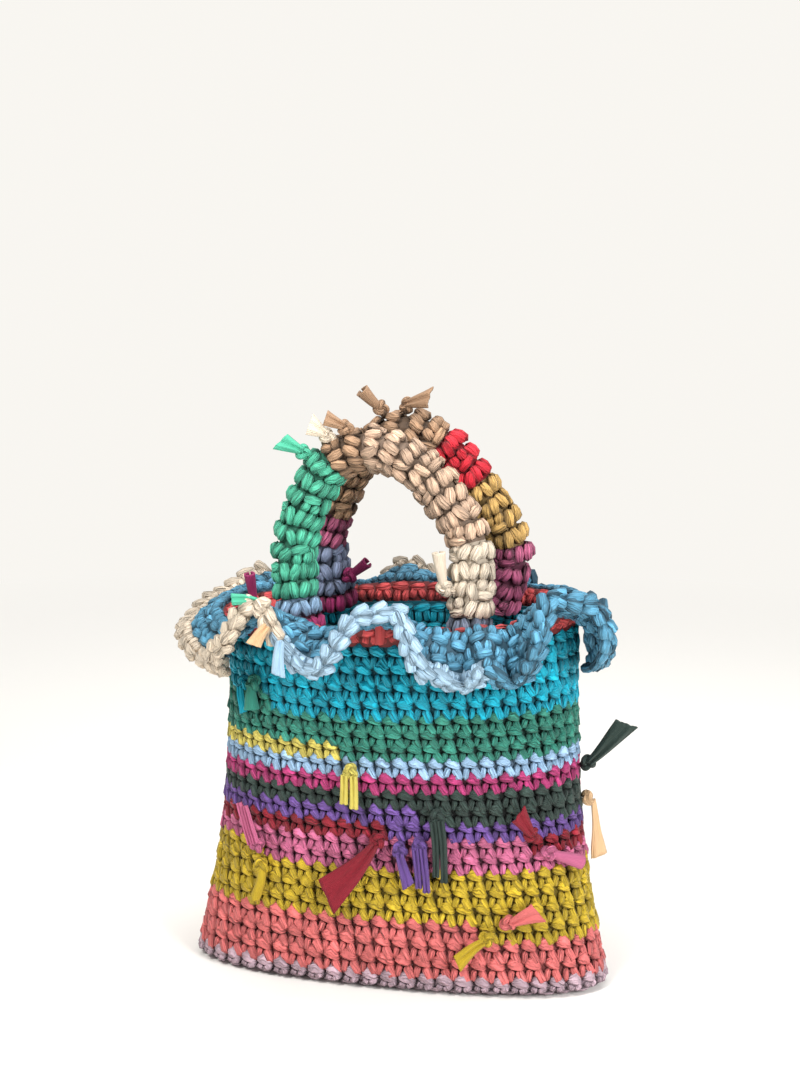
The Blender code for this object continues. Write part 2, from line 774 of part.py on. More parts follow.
def make_ends():
    for name, yarn, route, width, cup in WALL_ENDS:
        places = [wall_place(share, height, KNOT_LIFT + lift) for share, height, lift in route]
        facing = [places[0][1]] * 3 + [places[1][1]] * 2 + [places[2][1]]
        make_end(name, yarn, [place for place, _, _ in places], facing, -places[0][1], width, cup)
    for name, yarn, carrier, share, route, face, inward, width, cup in FREE_ENDS:
        start = carrier_place(carrier, share)
        places = [start + Vector(offset) for offset in route]
        facing = [Vector(face).normalized()] * 6
        make_end(name, yarn, places, facing, Vector(inward).normalized(), width, cup)


def clear_scene():
    for piece in list(bpy.data.objects):
        bpy.data.objects.remove(piece, do_unlink=True)


def main():
    clear_scene()
    make_wall()
    make_frill()
    make_handle("front", FRONT_HANDLE_FEET, FRONT_HANDLE_LINE, FRONT_HANDLE_YARNS)
    make_handle("back", BACK_HANDLE_FEET, BACK_HANDLE_LINE, BACK_HANDLE_YARNS)
    make_ends()


main()
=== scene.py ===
"""The looks of a crocheted handbag in thick jersey yarn.

Every stitch is modelled: a plump cap over two legs, set along the spiral of the wall, the
rounds of the frill, the base and the handles, each on a thin backing in its own yarn,
coloured with the painted shade of its grooves.
Loose ends are strips of jersey, rolled or cupped, that come out of a knot.

Sizes are millimetres, turned into metres as each mesh is made. The wall, frill, handles and
loose ends follow the same rules as the solids that they stand for.
"""

import json
import math

import bpy
from mathutils import Euler, Matrix, Vector, noise

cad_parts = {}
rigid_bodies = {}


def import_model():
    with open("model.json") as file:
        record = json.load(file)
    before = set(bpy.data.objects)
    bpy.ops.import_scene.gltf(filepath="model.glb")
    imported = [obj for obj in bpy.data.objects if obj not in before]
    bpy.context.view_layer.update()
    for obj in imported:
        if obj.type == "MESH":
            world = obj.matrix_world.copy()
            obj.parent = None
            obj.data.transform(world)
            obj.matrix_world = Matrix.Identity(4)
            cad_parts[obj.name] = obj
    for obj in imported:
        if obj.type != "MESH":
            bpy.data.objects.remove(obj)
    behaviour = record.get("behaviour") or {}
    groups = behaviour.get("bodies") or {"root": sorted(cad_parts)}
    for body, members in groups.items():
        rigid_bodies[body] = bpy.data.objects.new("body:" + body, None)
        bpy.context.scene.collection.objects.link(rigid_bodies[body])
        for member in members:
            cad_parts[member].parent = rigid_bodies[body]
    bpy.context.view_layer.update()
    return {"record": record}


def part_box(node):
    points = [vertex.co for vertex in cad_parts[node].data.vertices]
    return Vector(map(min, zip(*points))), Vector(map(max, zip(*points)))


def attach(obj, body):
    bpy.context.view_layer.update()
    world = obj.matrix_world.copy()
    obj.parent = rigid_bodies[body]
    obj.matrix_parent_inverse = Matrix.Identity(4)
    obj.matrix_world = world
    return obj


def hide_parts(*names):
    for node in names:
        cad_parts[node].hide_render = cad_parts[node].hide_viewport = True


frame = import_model()

MM = 0.001
BODY = "root"
COLOURS = {entry["slot"]: entry["base_color"] for entry in frame["record"]["materials"]}

# Yarns whose cloth looks different from the record's plain colour once it is worked
YARN_SHADES = {
    "jade": (48, 130, 112),
    "petrol": (86, 148, 178),
    "mint": (80, 184, 150),
    "beige": (200, 168, 142),
    "ochre": (200, 160, 92),
    "orchid": (190, 97, 133),
    "baby_blue": (150, 184, 216),
    "light_blue": (180, 214, 238),
    "cream": (246, 228, 204),
    "red": (246, 42, 62),
    "mustard": (186, 158, 34),
    "magenta": (176, 54, 112),
    "slate_green": (47, 64, 58),
    "crimson": (138, 22, 40),
    "purple": (104, 73, 143),
    "lavender": (150, 164, 196),
    "apricot": (246, 204, 156),
}

# The spiral of stitches: worked to the right as seen from the front, seam at the back
STITCHES = 52
DRIFT = 1 / 6
CLIMB_START = 0.8
ROUND_COUNTS = (1, 3, 3, 7, 3, 4)
ROUND_HEIGHTS = (15.0, 13.0, 11.7, 11.0, 9.7, 12.0)
LAST_STITCH_HEIGHT = 3.5

# The body
BASE_HALF_LENGTH = 145.3
RIM_HALF_LENGTH = 119.0
FLARE_HEIGHT = 85.0
FLARE_POWER = 1.3
BASE_HALF_DEPTH = 53.0
RIM_HALF_DEPTH = 72.5
BULGE_POWER = 1.5
BASE_SQUARENESS = 2.38
RIM_SQUARENESS = 2.0
LEAN_TO_THE_RIGHT = 0.054
WALL = 12.0
FLOOR = 11.0
GAP = 0.3

# The frill on the rim
FRILL_WIDTH = 52.0
FRILL_ROUNDS = 4
FRILL_THICKNESS = 8.5
FRILL_ROOT_THICKNESS = 5.6
FRILL_ROOT_INSET = 3.4
FRILL_ROOT_SHARE = 0.25
FRILL_CURL_SHARE = 0.42
FRILL_SAMPLES = 1600
FRILL_STATIONS = 260

# The handles
HANDLE_RADIUS = 15.0
HANDLE_ROW = 12.0
HANDLE_FEWEST_ROWS = 8
HANDLE_LEAN = 12.0
HANDLE_STITCHES = 6
HANDLE_DRIFT = 0.42

# One stitch at its nominal size: the pitch along a round, the round's height, how far its
# crown stands out from its own origin, and how far the backing lies behind that origin
PITCH = 12.2
ROUND = 12.0
CROWN = 4.2
BACKING_DEPTH = 0.4

# The loose ends
KNOT_WIDTH = 10.5
KNOT_LENGTH = 9.0
NECK_WIDTH = 5.5
JERSEY_THICKNESS = 2.4
KNOT_LIFT = 7.5
LONGEST_KNOT_SHARE = 0.4
CARRIER_RISE = 0.6
STRIP_STEPS = 3
CURVE_STEPS = 6

# Where each yarn of the wall is tied on: its round, and how far round from the seam
YARN_STARTS = (
    ("coral", 1, 0.0),
    ("mustard", 3, 0.62),
    ("orchid", 7, 0.358),
    ("crimson", 8, 0.68),
    ("purple", 9, 0.508),
    ("slate_green", 10, 0.55),
    ("magenta", 11, 0.765),
    ("baby_blue", 12, 0.85),
    ("lime", 13, 0.9),
    ("jade", 14, 0.465),
    ("turquoise", 17, 0.358),
)

# The frill's waves: place on the rim in shares of the way round, and its lean out in degrees
FRILL_WAVES = (
    (0.000, 100), (0.030, 82), (0.075, 130), (0.110, 80), (0.142, 126), (0.172, 82),
    (0.210, 106), (0.250, 127), (0.320, 170), (0.354, 118), (0.390, 62), (0.450, 134),
    (0.500, 68), (0.526, 64), (0.556, 135), (0.590, 172), (0.607, 135), (0.634, 172),
    (0.662, 58), (0.694, 72), (0.732, 172), (0.785, 168), (0.835, 114), (0.876, 138),
    (0.917, 90), (0.960, 128),
)

# The frill's last round: each yarn, from where to where
FRILL_EDGES = (
    ("frill_edge_cream", "cream", 0.917, 1.420),
    ("frill_edge_light_blue", "light_blue", 0.420, 0.607),
    ("frill_edge_petrol", "petrol", 0.607, 0.917),
)

# The handles: the middle line as x and height above the rim, and where each yarn ends
# along it, in shares
FRONT_HANDLE_FEET = (0.388, 0.603)
FRONT_HANDLE_LINE = ((-66, 49), (-57, 84), (-42, 111), (-15, 121), (14, 112), (36, 90), (54, 59))
FRONT_HANDLE_YARNS = (
    ("magenta", 0.035), ("baby_blue", 0.075), ("mint", 0.385), ("tan", 0.5),
    ("beige", 0.79), ("cream", 0.945), ("grey_blue", 1.0),
)
BACK_HANDLE_FEET = (0.108, 0.895)
BACK_HANDLE_LINE = ((-64, 43), (-54, 79), (-35, 109), (-5, 125), (24, 112), (48, 82), (66, 43))
BACK_HANDLE_YARNS = (
    ("magenta", 0.04), ("lavender", 0.17), ("orchid", 0.25), ("tan", 0.585),
    ("red", 0.68), ("ochre", 0.85), ("orchid", 1.0),
)

# Loose ends on the wall: places as share of the way round, height and lift off the wall,
# then the width at the free end and how far the strip is cupped
WALL_ENDS = (
    ("end_coral", "coral", ((0.627, 52, 0), (0.645, 57, 1), (0.664, 62, 3)), 15, 4),
    ("end_mustard", "mustard", ((0.617, 46, 0), (0.598, 38, 0), (0.580, 27, 2)), 11, 3),
    ("end_mustard_leaf", "mustard", ((0.360, 86, 0), (0.364, 73, 2), (0.357, 57, 1)), 7, 5),
    ("end_orchid_strip", "orchid", ((0.359, 92, 0), (0.350, 106, 1), (0.338, 126, 2)), 9, 4),
    ("end_crimson_flared", "crimson", ((0.503, 113, 0), (0.478, 91, 2), (0.446, 69, 5)), 24, 5),
    ("end_purple_left", "purple", ((0.521, 108, 0), (0.526, 95, 2), (0.533, 80, 3)), 9, 4),
    ("end_purple_right", "purple", ((0.543, 112, 0), (0.546, 95, 3), (0.548, 76, 4)), 9, 4),
    ("end_slate_green", "slate_green", ((0.562, 131, 0), (0.566, 110, 4), (0.566, 83, 3)), 9, 4),
    ("end_crimson_tube", "crimson", ((0.668, 109, 0), (0.659, 118, 2), (0.648, 130, 4)), 13, 6),
    ("end_orchid_tube", "orchid", ((0.676, 101, 0), (0.694, 96, 2), (0.714, 90, 4)), 10, 8),
    ("end_apricot", "apricot", ((0.762, 128, 0), (0.764, 110, 2), (0.768, 84, 4)), 12, 5),
    ("end_lime", "lime", ((0.469, 161, 0), (0.469, 148, 2), (0.468, 132, 2)), 12, 4),
    ("end_jade_tube", "jade", ((0.352, 216, 0), (0.350, 206, 3), (0.352, 194, 4)), 11, 9),
    ("end_turquoise", "turquoise", ((0.334, 214, 0), (0.335, 203, 1), (0.338, 190, 1)), 7, 4),
)

# Loose ends clear of the wall: what carries them and where on it, places measured from
# there as x, y and height, the way the flat side faces,
# then the width at the free end and how far the strip is cupped
FREE_ENDS = (
    (
        "end_slate_flared", "slate_green", "wall", 0.755,
        ((11, 1, 0), (24, 0, 14), (40, -1, 34)), (0.2, -1, 0), 15, 6,
    ),
    (
        "end_mint", "mint", "front", 0.38,
        ((-16, -8, 15), (-24, -9, 19), (-35, -9, 23)), (0.1, -1, 0.4), 13, 5,
    ),
    (
        "end_cream_top", "cream", "front", 0.425,
        ((-12, -7, 22), (-18, -8, 26), (-27, -9, 31)), (0.2, -1, 0.5), 15, 7,
    ),
    (
        "end_tan_front", "tan", "front", 0.465,
        ((-5, -7, 25), (-13, -8, 28), (-22, -9, 32)), (0.3, -1, 0.5), 11, 5,
    ),
    (
        "end_tan_back", "tan", "back", 0.495,
        ((-3, 2, 25), (7, -3, 29), (20, -7, 33)), (0, -1, 0.4), 14, 7,
    ),
    (
        "end_tan_tube", "tan", "back", 0.47,
        ((-9, 3, 25), (-16, -2, 31), (-24, -6, 40)), (0.3, -1, 0.3), 10, 9,
    ),
    (
        "end_cream_tube", "cream", "front", 0.915,
        ((-14, -29, 3), (-17, -30, 17), (-19, -30, 31)), (0.2, -1, 0), 9, 8,
    ),
    (
        "end_magenta_tube", "magenta", "back", 0.07,
        ((16, -17, 2), (24, -18, 8), (33, -19, 15)), (0, -1, 0.5), 8, 7,
    ),
)

# The lens and where the photograph was taken from
PHOTO_HEIGHT_PX = 1092
FOCAL_PX = 2300
SENSOR = 36.0
CAMERA_DISTANCE = 1.537
CAMERA_TURN = 13.31
CAMERA_RISE = 11.06
CAMERA_ROLL = 0.47
TARGET_RIGHT = -0.0022
TARGET_HEIGHT = 0.2949


class Wire:
    """A shader socket that can be added, multiplied and compared in plain sums."""

    def __init__(self, tree, socket):
        self.tree = tree
        self.socket = socket

    def math(self, operation, *values):
        sockets = dict(enumerate(values))
        return make_node(self.tree, "ShaderNodeMath", {"operation": operation}, sockets)

    def __add__(self, other):
        return self.math("ADD", self, other)

    __radd__ = __add__

    def __sub__(self, other):
        return self.math("SUBTRACT", self, other)

    def __rsub__(self, other):
        return self.math("SUBTRACT", other, self)

    def __mul__(self, other):
        return self.math("MULTIPLY", self, other)

    __rmul__ = __mul__

    def __abs__(self):
        return self.math("ABSOLUTE", self)

    def held(self, low=0.0, high=1.0):
        return self.math("MAXIMUM", self.math("MINIMUM", self, high), low)


def make_node(tree, kind, settings, sockets, output=0):
    """One node, its settings set before its sockets, and the wire out of it."""
    node = tree.nodes.new(kind)
    for name, value in settings.items():
        setattr(node, name, value)
    for key, value in sockets.items():
        socket = node.inputs[key]
        if isinstance(value, Wire):
            tree.links.new(value.socket, socket)
        else:
            socket.default_value = value
    return Wire(tree, node.outputs[output])


def linear(value):
    return value / 12.92 if value <= 0.04045 else ((value + 0.055) / 1.055) ** 2.4


def colour_of(slot):
    """A yarn's own colour, as a shader wants it."""
    if slot in YARN_SHADES:
        return [linear(value / 255) for value in YARN_SHADES[slot]]
    return [linear(value) for value in COLOURS[slot]]


def groove_painted_shade(slot):
    """The yarn's colour darkened into painted shade for the grooves, where pale yarns stay paler than dark ones."""
    red, green, blue = colour_of(slot)
    gain = DEEPEST_GAIN + PALE_GAIN * (0.21 * red + 0.72 * green + 0.07 * blue)
    return red * gain, green * gain, blue * gain, 1


def crown_painted_highlight(slot):
    """The yarn's colour brightened into a painted highlight for the crowns, no brighter than its hue allows."""
    colour = colour_of(slot)
    gain = min(LIGHT_GAIN, BRIGHTEST / max(colour))
    return (*[value * gain for value in colour], 1)


def cloth_material(name, slot, roughness, sheen, tint_of, height_of_surface, bump):
    """A matt cloth whose colour and relief come from two functions of its tree; the colour runs from painted shade to a
    painted highlight.
    """
    material = bpy.data.materials.new(name)
    material.use_nodes = True
    tree = material.node_tree
    shader = tree.nodes["Principled BSDF"]
    shader.inputs["Roughness"].default_value = roughness
    shader.inputs["Sheen Weight"].default_value = sheen
    shader.inputs["Sheen Roughness"].default_value = 0.5
    shader.inputs["Specular IOR Level"].default_value = 0.35
    strand = make_node(tree, "ShaderNodeUVMap", {"uv_map": "strand"}, {})
    parts = make_node(tree, "ShaderNodeSeparateXYZ", {}, {0: strand})
    along, around = parts, Wire(tree, parts.socket.node.outputs[1])
    tone = make_node(tree, "ShaderNodeAttribute", {"attribute_name": "tone"}, {}, 2)
    crown = make_node(tree, "ShaderNodeAttribute", {"attribute_name": "crown"}, {}, 2)
    relief = height_of_surface(tree, along, around, tone)
    factor = tint_of(tree, relief, tone, crown)
    # Painted shade and painted highlight: the base colour mixes from the groove shade to the crown highlight by the
    # tint
    colour = make_node(
        tree, "ShaderNodeMix", {"data_type": "RGBA"},
        {0: factor, 6: groove_painted_shade(slot), 7: crown_painted_highlight(slot)}, 2,
    )
    normal = make_node(
        tree, "ShaderNodeBump", {},
        {"Strength": bump, "Distance": BUMP_HEIGHT, "Height": relief},
    )
    tree.links.new(colour.socket, shader.inputs["Base Color"])
    tree.links.new(normal.socket, shader.inputs["Normal"])
    return material


# How the yarn's colour runs from painted shade in the grooves to a painted highlight on the crowns, and its relief
DEEPEST_GAIN = 0.07
PALE_GAIN = 0.60
LIGHT_GAIN = 1.55
BRIGHTEST = 0.94
BUMP_HEIGHT = 0.0026
FOLDS_AROUND = 7.0
FOLDS_ALONG = 0.8
FOLD_SHARPNESS = 5.0


def cloud(tree, x, y, z, detail=2.0):
    """A noise over three wires or numbers."""
    place = make_node(tree, "ShaderNodeCombineXYZ", {}, {0: x, 1: y, 2: z})
    return make_node(
        tree, "ShaderNodeTexNoise", {},
        {"Vector": place, "Scale": 1.0, "Detail": detail, "Roughness": 0.5},
    )


def yarn_relief(tree, along, around, tone):
    """Folds that run along the strand, sharp where the jersey creases."""
    folds = cloud(tree, along * FOLDS_ALONG, around * FOLDS_AROUND + tone * 17.0, tone * 41.0)
    crease = (abs(folds - 0.5) * FOLD_SHARPNESS).held()
    return crease * 0.7 + folds * 0.3


# Painted shade and painted highlight: darker in the grooves and creases, lighter on the crowns and between creases; the
# tone is each stitch's own random variation
def yarn_painted_light_and_tone(tree, relief, tone, crown):
    return (crown * 0.66 + relief * 0.60 + tone * 0.30 - 0.40).held()


def strip_relief(tree, along, around, tone):
    """The fine ribs of knitted jersey, with soft wrinkles."""
    ribs = (around * STRIP_RIBS).math("SINE", around * STRIP_RIBS)
    folds = cloud(tree, along * 90.0, around * 420.0, tone * 13.0, 3.0)
    return ribs * 0.12 + folds * 0.9


# Painted shade and painted highlight: darker on the strip's inner side and in its wrinkles, lighter on its outer face
def strip_painted_light(tree, relief, tone, crown):
    return (crown * 0.38 + relief * 0.30).held()


STRIP_RIBS = 2 * math.pi / 0.0012

YARNS = {}


def yarn_of(slot, kind="yarn"):
    """The material of a slot's yarn: worked into stitches, or a flat strip of jersey."""
    if (slot, kind) not in YARNS:
        if kind == "yarn":
            made = cloth_material(f"{slot}_yarn", slot, 0.62, 0.04, yarn_painted_light_and_tone, yarn_relief, 1.0)
        else:
            made = cloth_material(f"{slot}_strip", slot, 0.80, 0.06, strip_painted_light, strip_relief, 0.5)
        YARNS[slot, kind] = made
    return YARNS[slot, kind]


class Skin:
    """Points and faces of a mesh, with the strand's UV map and the crown attribute, which sets the painted shade and
    painted highlight.
    """

    def __init__(self):
        self.points = []
        self.crowns = []
        self.faces = []
        self.uvs = []

    def point(self, place, crown=1.0):
        self.points.append(place)
        self.crowns.append(crown)
        return len(self.points) - 1

    def face(self, corners, uvs=None):
        self.faces.append(corners)
        self.uvs.append(uvs or [(0.0, 0.0)] * len(corners))

    def mesh(self, name, tone=None, smooth=True):
        made = bpy.data.meshes.new(name)
        made.from_pydata([Vector(point) * MM for point in self.points], [], self.faces)
        layer = made.uv_layers.new(name="strand")
        flat = [value for uvs in self.uvs for uv in uvs for value in uv]
        layer.data.foreach_set("uv", flat)
        crowns = made.attributes.new("crown", "FLOAT", "POINT")
        crowns.data.foreach_set("value", self.crowns)
        if tone is not None:
            tones = made.attributes.new("tone", "FLOAT", "POINT")
            tones.data.foreach_set("value", [tone] * len(self.points))
        made.polygons.foreach_set("use_smooth", [smooth] * len(made.polygons))
        made.update()
        return made


OUTWARD = Vector((0, -1, 0))
BACK_SHARE = 0.35
FULLNESS = 0.75


def painted_light_mask(place):
    """How near a place is to the stitch's crown, from 0 in the grooves to 1: the mask for painted shade in the grooves
    and a painted highlight on the crowns.
    """
    return max(0.0, min(1.0, -place.y / CROWN))


def add_lobe(skin, stations, sides, start, end, seed, back=BACK_SHARE):
    """One closed lobe of yarn: each station is its middle, the direction across the strand,
    how far it reaches to either side, and how far it stands out. Outward is -Y."""
    rings = []
    for middle, across, high, low, depth in stations:
        ring = []
        for side in range(sides):
            turn = 2 * math.pi * (side + 0.5) / sides
            reach = math.copysign(abs(math.sin(turn)) ** FULLNESS, math.sin(turn))
            reach *= high if turn < math.pi else low
            stand = math.cos(turn) * depth * (1 if math.cos(turn) > 0 else back)
            place = middle + across * reach + OUTWARD * stand
            ring.append(skin.point(place, painted_light_mask(place)))
        rings.append(ring)
    first = skin.point(start, painted_light_mask(start))
    last = skin.point(end, painted_light_mask(end))
    count = len(stations) + 1
    for side in range(sides):
        beside = (side + 1) % sides
        low, high = side / sides + seed, (side + 1) / sides + seed
        skin.face((first, rings[0][side], rings[0][beside]), [(0, low), (1 / count, low), (1 / count, high)])
        for number, (ring, after) in enumerate(zip(rings, rings[1:])):
            u, v = (number + 1) / count, (number + 2) / count
            skin.face(
                (ring[side], after[side], after[beside], ring[beside]),
                [(u, low), (v, low), (v, high), (u, high)],
            )
        u = 1 - 1 / count
        skin.face((rings[-1][beside], rings[-1][side], last), [(u, high), (u, low), (1, low)])


# Where along a leaf of yarn its stations are, and how full it is there
LEAF = ((0.22, 0.92), (0.72, 0.95))
BEAN = ((0.12, 0.74), (0.48, 1.0), (0.86, 0.80))
LOOP = ((0.09, 0.72), (0.50, 1.0), (0.90, 0.80))


def add_leaf(skin, start, end, width, depth, seed, profile=LEAF, sides=5, bulge=0.0, back=BACK_SHARE):
    """A leaf of yarn between two places, as plump as its profile says."""
    across = (end - start).cross(Vector((0, 1, 0))).normalized()
    stations = []
    for share, full in profile:
        middle = start.lerp(end, share) + OUTWARD * bulge * math.sin(math.pi * share)
        stations.append((middle, across, width * full, width * full, depth * full))
    add_lobe(skin, stations, sides, start, end, seed, back)


# The cap of a stitch, from left to right: how far it reaches up and down, and how full it is
CAP = ((-0.82, 0.34, 0.80, 0.74), (-0.42, 0.74, 1.04, 1.0), (0.06, 1.20, 1.00, 1.0), (0.60, 0.62, 0.92, 0.92))
CAP_SLOPE = 1.7


def stitch_shape(wide, rise, peak, spread, seed, reach=1.0):
    """A single crochet stitch: its plump cap, sloping and with a peak tucked in above, over a
    narrow left leg and a leaf-like right leg, which reach down between the caps below."""
    skin = Skin()
    stations = []
    for share, top, bottom, full in CAP:
        middle = Vector((share * wide + peak * 0.3, -0.4, 1.6 - share * CAP_SLOPE))
        stations.append((middle, Vector((0, 0, 1)), top * rise, bottom * 4.2, full * 4.0))
    cap_start, cap_end = Vector((-wide - 0.2, 0.2, 1.8)), Vector((wide + 0.3 + peak * 0.3, 0.2, -1.4))
    add_lobe(skin, stations, 6, cap_start, cap_end, seed)
    left = Vector((-2.2, -0.9, -0.6)), Vector((-4.2 - spread * 0.3, -0.6, -10.6 * reach))
    right = Vector((1.0, -1.0, -0.6)), Vector(((7.0 + spread) * reach, -1.0, -11.4 * reach))
    add_leaf(skin, *left, 2.7, 3.6, seed + 0.37)
    add_leaf(skin, *right, 3.5, 3.8, seed + 0.71)
    return skin


def back_shape(seed):
    """The inner side of a stitch: one bar of yarn over two low bumps."""
    skin = Skin()
    add_leaf(skin, Vector((-7.0, 0, 0.6)), Vector((7.0, 0, 2.6)), 3.4, 3.9, seed, BEAN, 6, 0.2)
    add_leaf(skin, Vector((-2.6, -0.6, 1.0)), Vector((-3.2, -0.4, -9.4)), 3.2, 3.1, seed + 0.4)
    add_leaf(skin, Vector((2.8, -0.6, 1.0)), Vector((3.8, -0.4, -9.0)), 3.3, 2.9, seed + 0.7)
    return skin


def handle_shape(leaves, seed):
    """Plump beans of yarn, as on the stuffed handles: each from where to where, and how wide."""
    skin = Skin()
    for number, (x, z, end_x, end_z, wide) in enumerate(leaves):
        start, end = Vector((x, -0.2, z)), Vector((end_x, -0.3, end_z))
        add_leaf(skin, start, end, wide, 3.9, seed + number * 0.6, BEAN, 6, 0.2)
    return skin


def plait_shape(lean, seed):
    """One arm of the plait along the frill's edge, slanting across it and out."""
    skin = Skin()
    start, end = Vector((-7.2, 2.4, -lean * 1.8)), Vector((6.8, -0.8, lean * 3.0))
    add_leaf(skin, start, end, 4.0, 4.0, seed, LOOP, 7, 1.0, 0.85)
    return skin


# The shapes that a stitch is picked from, in the order of their numbers
FRONTS, BACK, PLAIT_LEFT, PLAIT_RIGHT, BEANS, TUFTS, FOOT = (0, 1, 2), 3, 4, 5, (6, 7, 8), (8, 9, 10), 11

# How far the legs of the lowest round reach, beside those of the others
FOOT_REACH = 0.45


def make_shapes():
    """A collection of the stitch shapes, kept out of the scene."""
    skins = [
        stitch_shape(6.1, 6.2, 0.8, 0.0, 0.0),
        stitch_shape(6.3, 5.8, -1.2, 0.4, 0.23),
        stitch_shape(5.9, 6.7, 2.0, -0.4, 0.57),
        back_shape(0.1),
        plait_shape(-1.0, 0.3),
        plait_shape(1.0, 0.8),
        handle_shape(((-5.4, -5.6, -1.4, 6.0, 3.7), (0.6, -6.6, 5.6, 5.0, 3.9)), 0.15),
        handle_shape(((-1.2, -6.8, -4.4, 5.8, 3.7), (2.0, -6.2, 4.8, 6.2, 3.8)), 0.45),
        handle_shape(((-6.2, 1.8, 6.2, 3.6, 3.9), (-3.2, -7.6, -1.4, 1.0, 3.3), (2.6, -7.4, 4.6, 1.2, 3.4)), 0.85),
        handle_shape(((-6.2, 1.6, 6.2, 2.6, 3.8), (-4.4, -6.2, -1.6, 1.6, 3.4), (4.6, -6.0, 1.4, 1.4, 3.4)), 0.25),
        handle_shape(((-6.0, 2.8, 6.2, 1.6, 4.0), (-3.8, -6.4, -2.4, 1.6, 3.5), (2.0, -6.2, 4.4, 1.8, 3.2)), 0.65),
        stitch_shape(6.1, 6.2, 0.8, 0.0, 0.35, FOOT_REACH),
    ]
    group = bpy.data.collections.new("stitch_shapes")
    for number, skin in enumerate(skins):
        shape = bpy.data.objects.new(f"shape_{number}", skin.mesh(f"shape_{number}"))
        group.objects.link(shape)
    return group


def crochet_tree():
    """Sets a stitch on every point: picked by its number, turned and sized by the point's
    own attributes with a little unevenness, and joined to the backing in one yarn."""
    tree = bpy.data.node_groups.new("crochet", "GeometryNodeTree")
    inputs = {}
    for name, kind in (
        ("Points", "NodeSocketGeometry"), ("Stitch Shapes", "NodeSocketCollection"),
        ("Backing", "NodeSocketObject"), ("Yarn", "NodeSocketMaterial"),
        ("Uneven Size", "NodeSocketFloat"), ("Uneven Turn", "NodeSocketFloat"), ("Seed", "NodeSocketInt"),
    ):
        inputs[name] = tree.interface.new_socket(name=name, in_out="INPUT", socket_type=kind)
    tree.interface.new_socket(name="Crochet", in_out="OUTPUT", socket_type="NodeSocketGeometry")
    given = tree.nodes.new("NodeGroupInput")
    wires = {name: Wire(tree, given.outputs[name]) for name in inputs}

    def own(name, kind):
        return make_node(tree, "GeometryNodeInputNamedAttribute", {"data_type": kind}, {"Name": name})

    def chance(kind, low, high, seed):
        return make_node(
            tree, "FunctionNodeRandomValue", {"data_type": kind},
            {low[0]: low[1], high[0]: high[1], "Seed": seed},
            {"FLOAT_VECTOR": 0, "FLOAT": 1}[kind],
        )

    shapes = make_node(
        tree, "GeometryNodeCollectionInfo", {},
        {"Collection": wires["Stitch Shapes"], "Separate Children": True, "Reset Children": True},
    )
    stretch = chance("FLOAT_VECTOR", (0, (-1, -1, -1)), (1, (1, 1, 1)), wires["Seed"])
    stretch = vector_sum(tree, "SCALE", stretch, scale=wires["Uneven Size"])
    stretch = vector_sum(tree, "ADD", stretch, (1, 1, 1))
    size = vector_sum(tree, "MULTIPLY", own("size", "FLOAT_VECTOR"), stretch)
    set_out = make_node(
        tree, "GeometryNodeInstanceOnPoints", {},
        {
            "Points": wires["Points"], "Instance": shapes, "Pick Instance": True,
            "Instance Index": own("shape", "INT"), "Rotation": own("turn", "FLOAT_VECTOR"), "Scale": size,
        },
    )
    turn = chance("FLOAT_VECTOR", (0, (-1, -1, -1)), (1, (1, 1, 1)), wires["Seed"] + 1)
    turn = vector_sum(tree, "SCALE", turn, scale=wires["Uneven Turn"])
    turned = make_node(tree, "GeometryNodeRotateInstances", {}, {"Instances": set_out, "Rotation": turn})
    tone = chance("FLOAT", (2, 0.0), (3, 1.0), wires["Seed"] + 2)
    toned = make_node(
        tree, "GeometryNodeStoreNamedAttribute", {"data_type": "FLOAT", "domain": "INSTANCE"},
        {"Geometry": turned, "Name": "tone", "Value": tone},
    )
    loose = make_node(tree, "GeometryNodeRealizeInstances", {}, {"Geometry": toned})
    backing = make_node(tree, "GeometryNodeObjectInfo", {}, {"Object": wires["Backing"]}, 4)
    both = tree.nodes.new("GeometryNodeJoinGeometry")
    tree.links.new(loose.socket, both.inputs[0])
    tree.links.new(backing.socket, both.inputs[0])
    coloured = make_node(
        tree, "GeometryNodeSetMaterial", {},
        {"Geometry": Wire(tree, both.outputs[0]), "Material": wires["Yarn"]},
    )
    result = tree.nodes.new("NodeGroupOutput")
    tree.links.new(coloured.socket, result.inputs[0])
    return tree, {name: item.identifier for name, item in inputs.items()}


def vector_sum(tree, operation, first, second=None, scale=None):
    sockets = {0: first}
    if second is not None:
        sockets[1] = second
    if scale is not None:
        sockets["Scale"] = scale
    return make_node(tree, "ShaderNodeVectorMath", {"operation": operation}, sockets)


def smooth_path(points, steps):
    """Points on one smooth curve through the given ones."""
    ends = [2 * points[0] - points[1], *points, 2 * points[-1] - points[-2]]
    path = []
    for before, start, end, after in zip(ends, ends[1:], ends[2:], ends[3:]):
        for step in range(steps):
            t = step / steps
            path.append(
                0.5 * (
                    2 * start
                    + (end - before) * t
                    + (2 * before - 5 * start + 4 * end - after) * t * t
                    + (3 * start - before - 3 * end + after) * t * t * t
                )
            )
    path.append(points[-1])
    return path


def lengths_of(path):
    lengths = [0.0]
    for start, end in zip(path, path[1:]):
        lengths.append(lengths[-1] + (end - start).length)
    return lengths


def at_shares(path, shares):
    """The places at these shares of a path's length, each with the direction there."""
    lengths = lengths_of(path)
    found = []
    for share in shares:
        wanted = share * lengths[-1]
        index = max(1, next((i for i, length in enumerate(lengths) if length >= wanted), len(path) - 1))
        start, end = path[index - 1], path[index]
        along = (wanted - lengths[index - 1]) / (lengths[index] - lengths[index - 1])
        before = path[max(0, index - 2)]
        after = path[min(len(path) - 1, index + 1)]
        found.append((start.lerp(end, along), (after - before).normalized()))
    return found


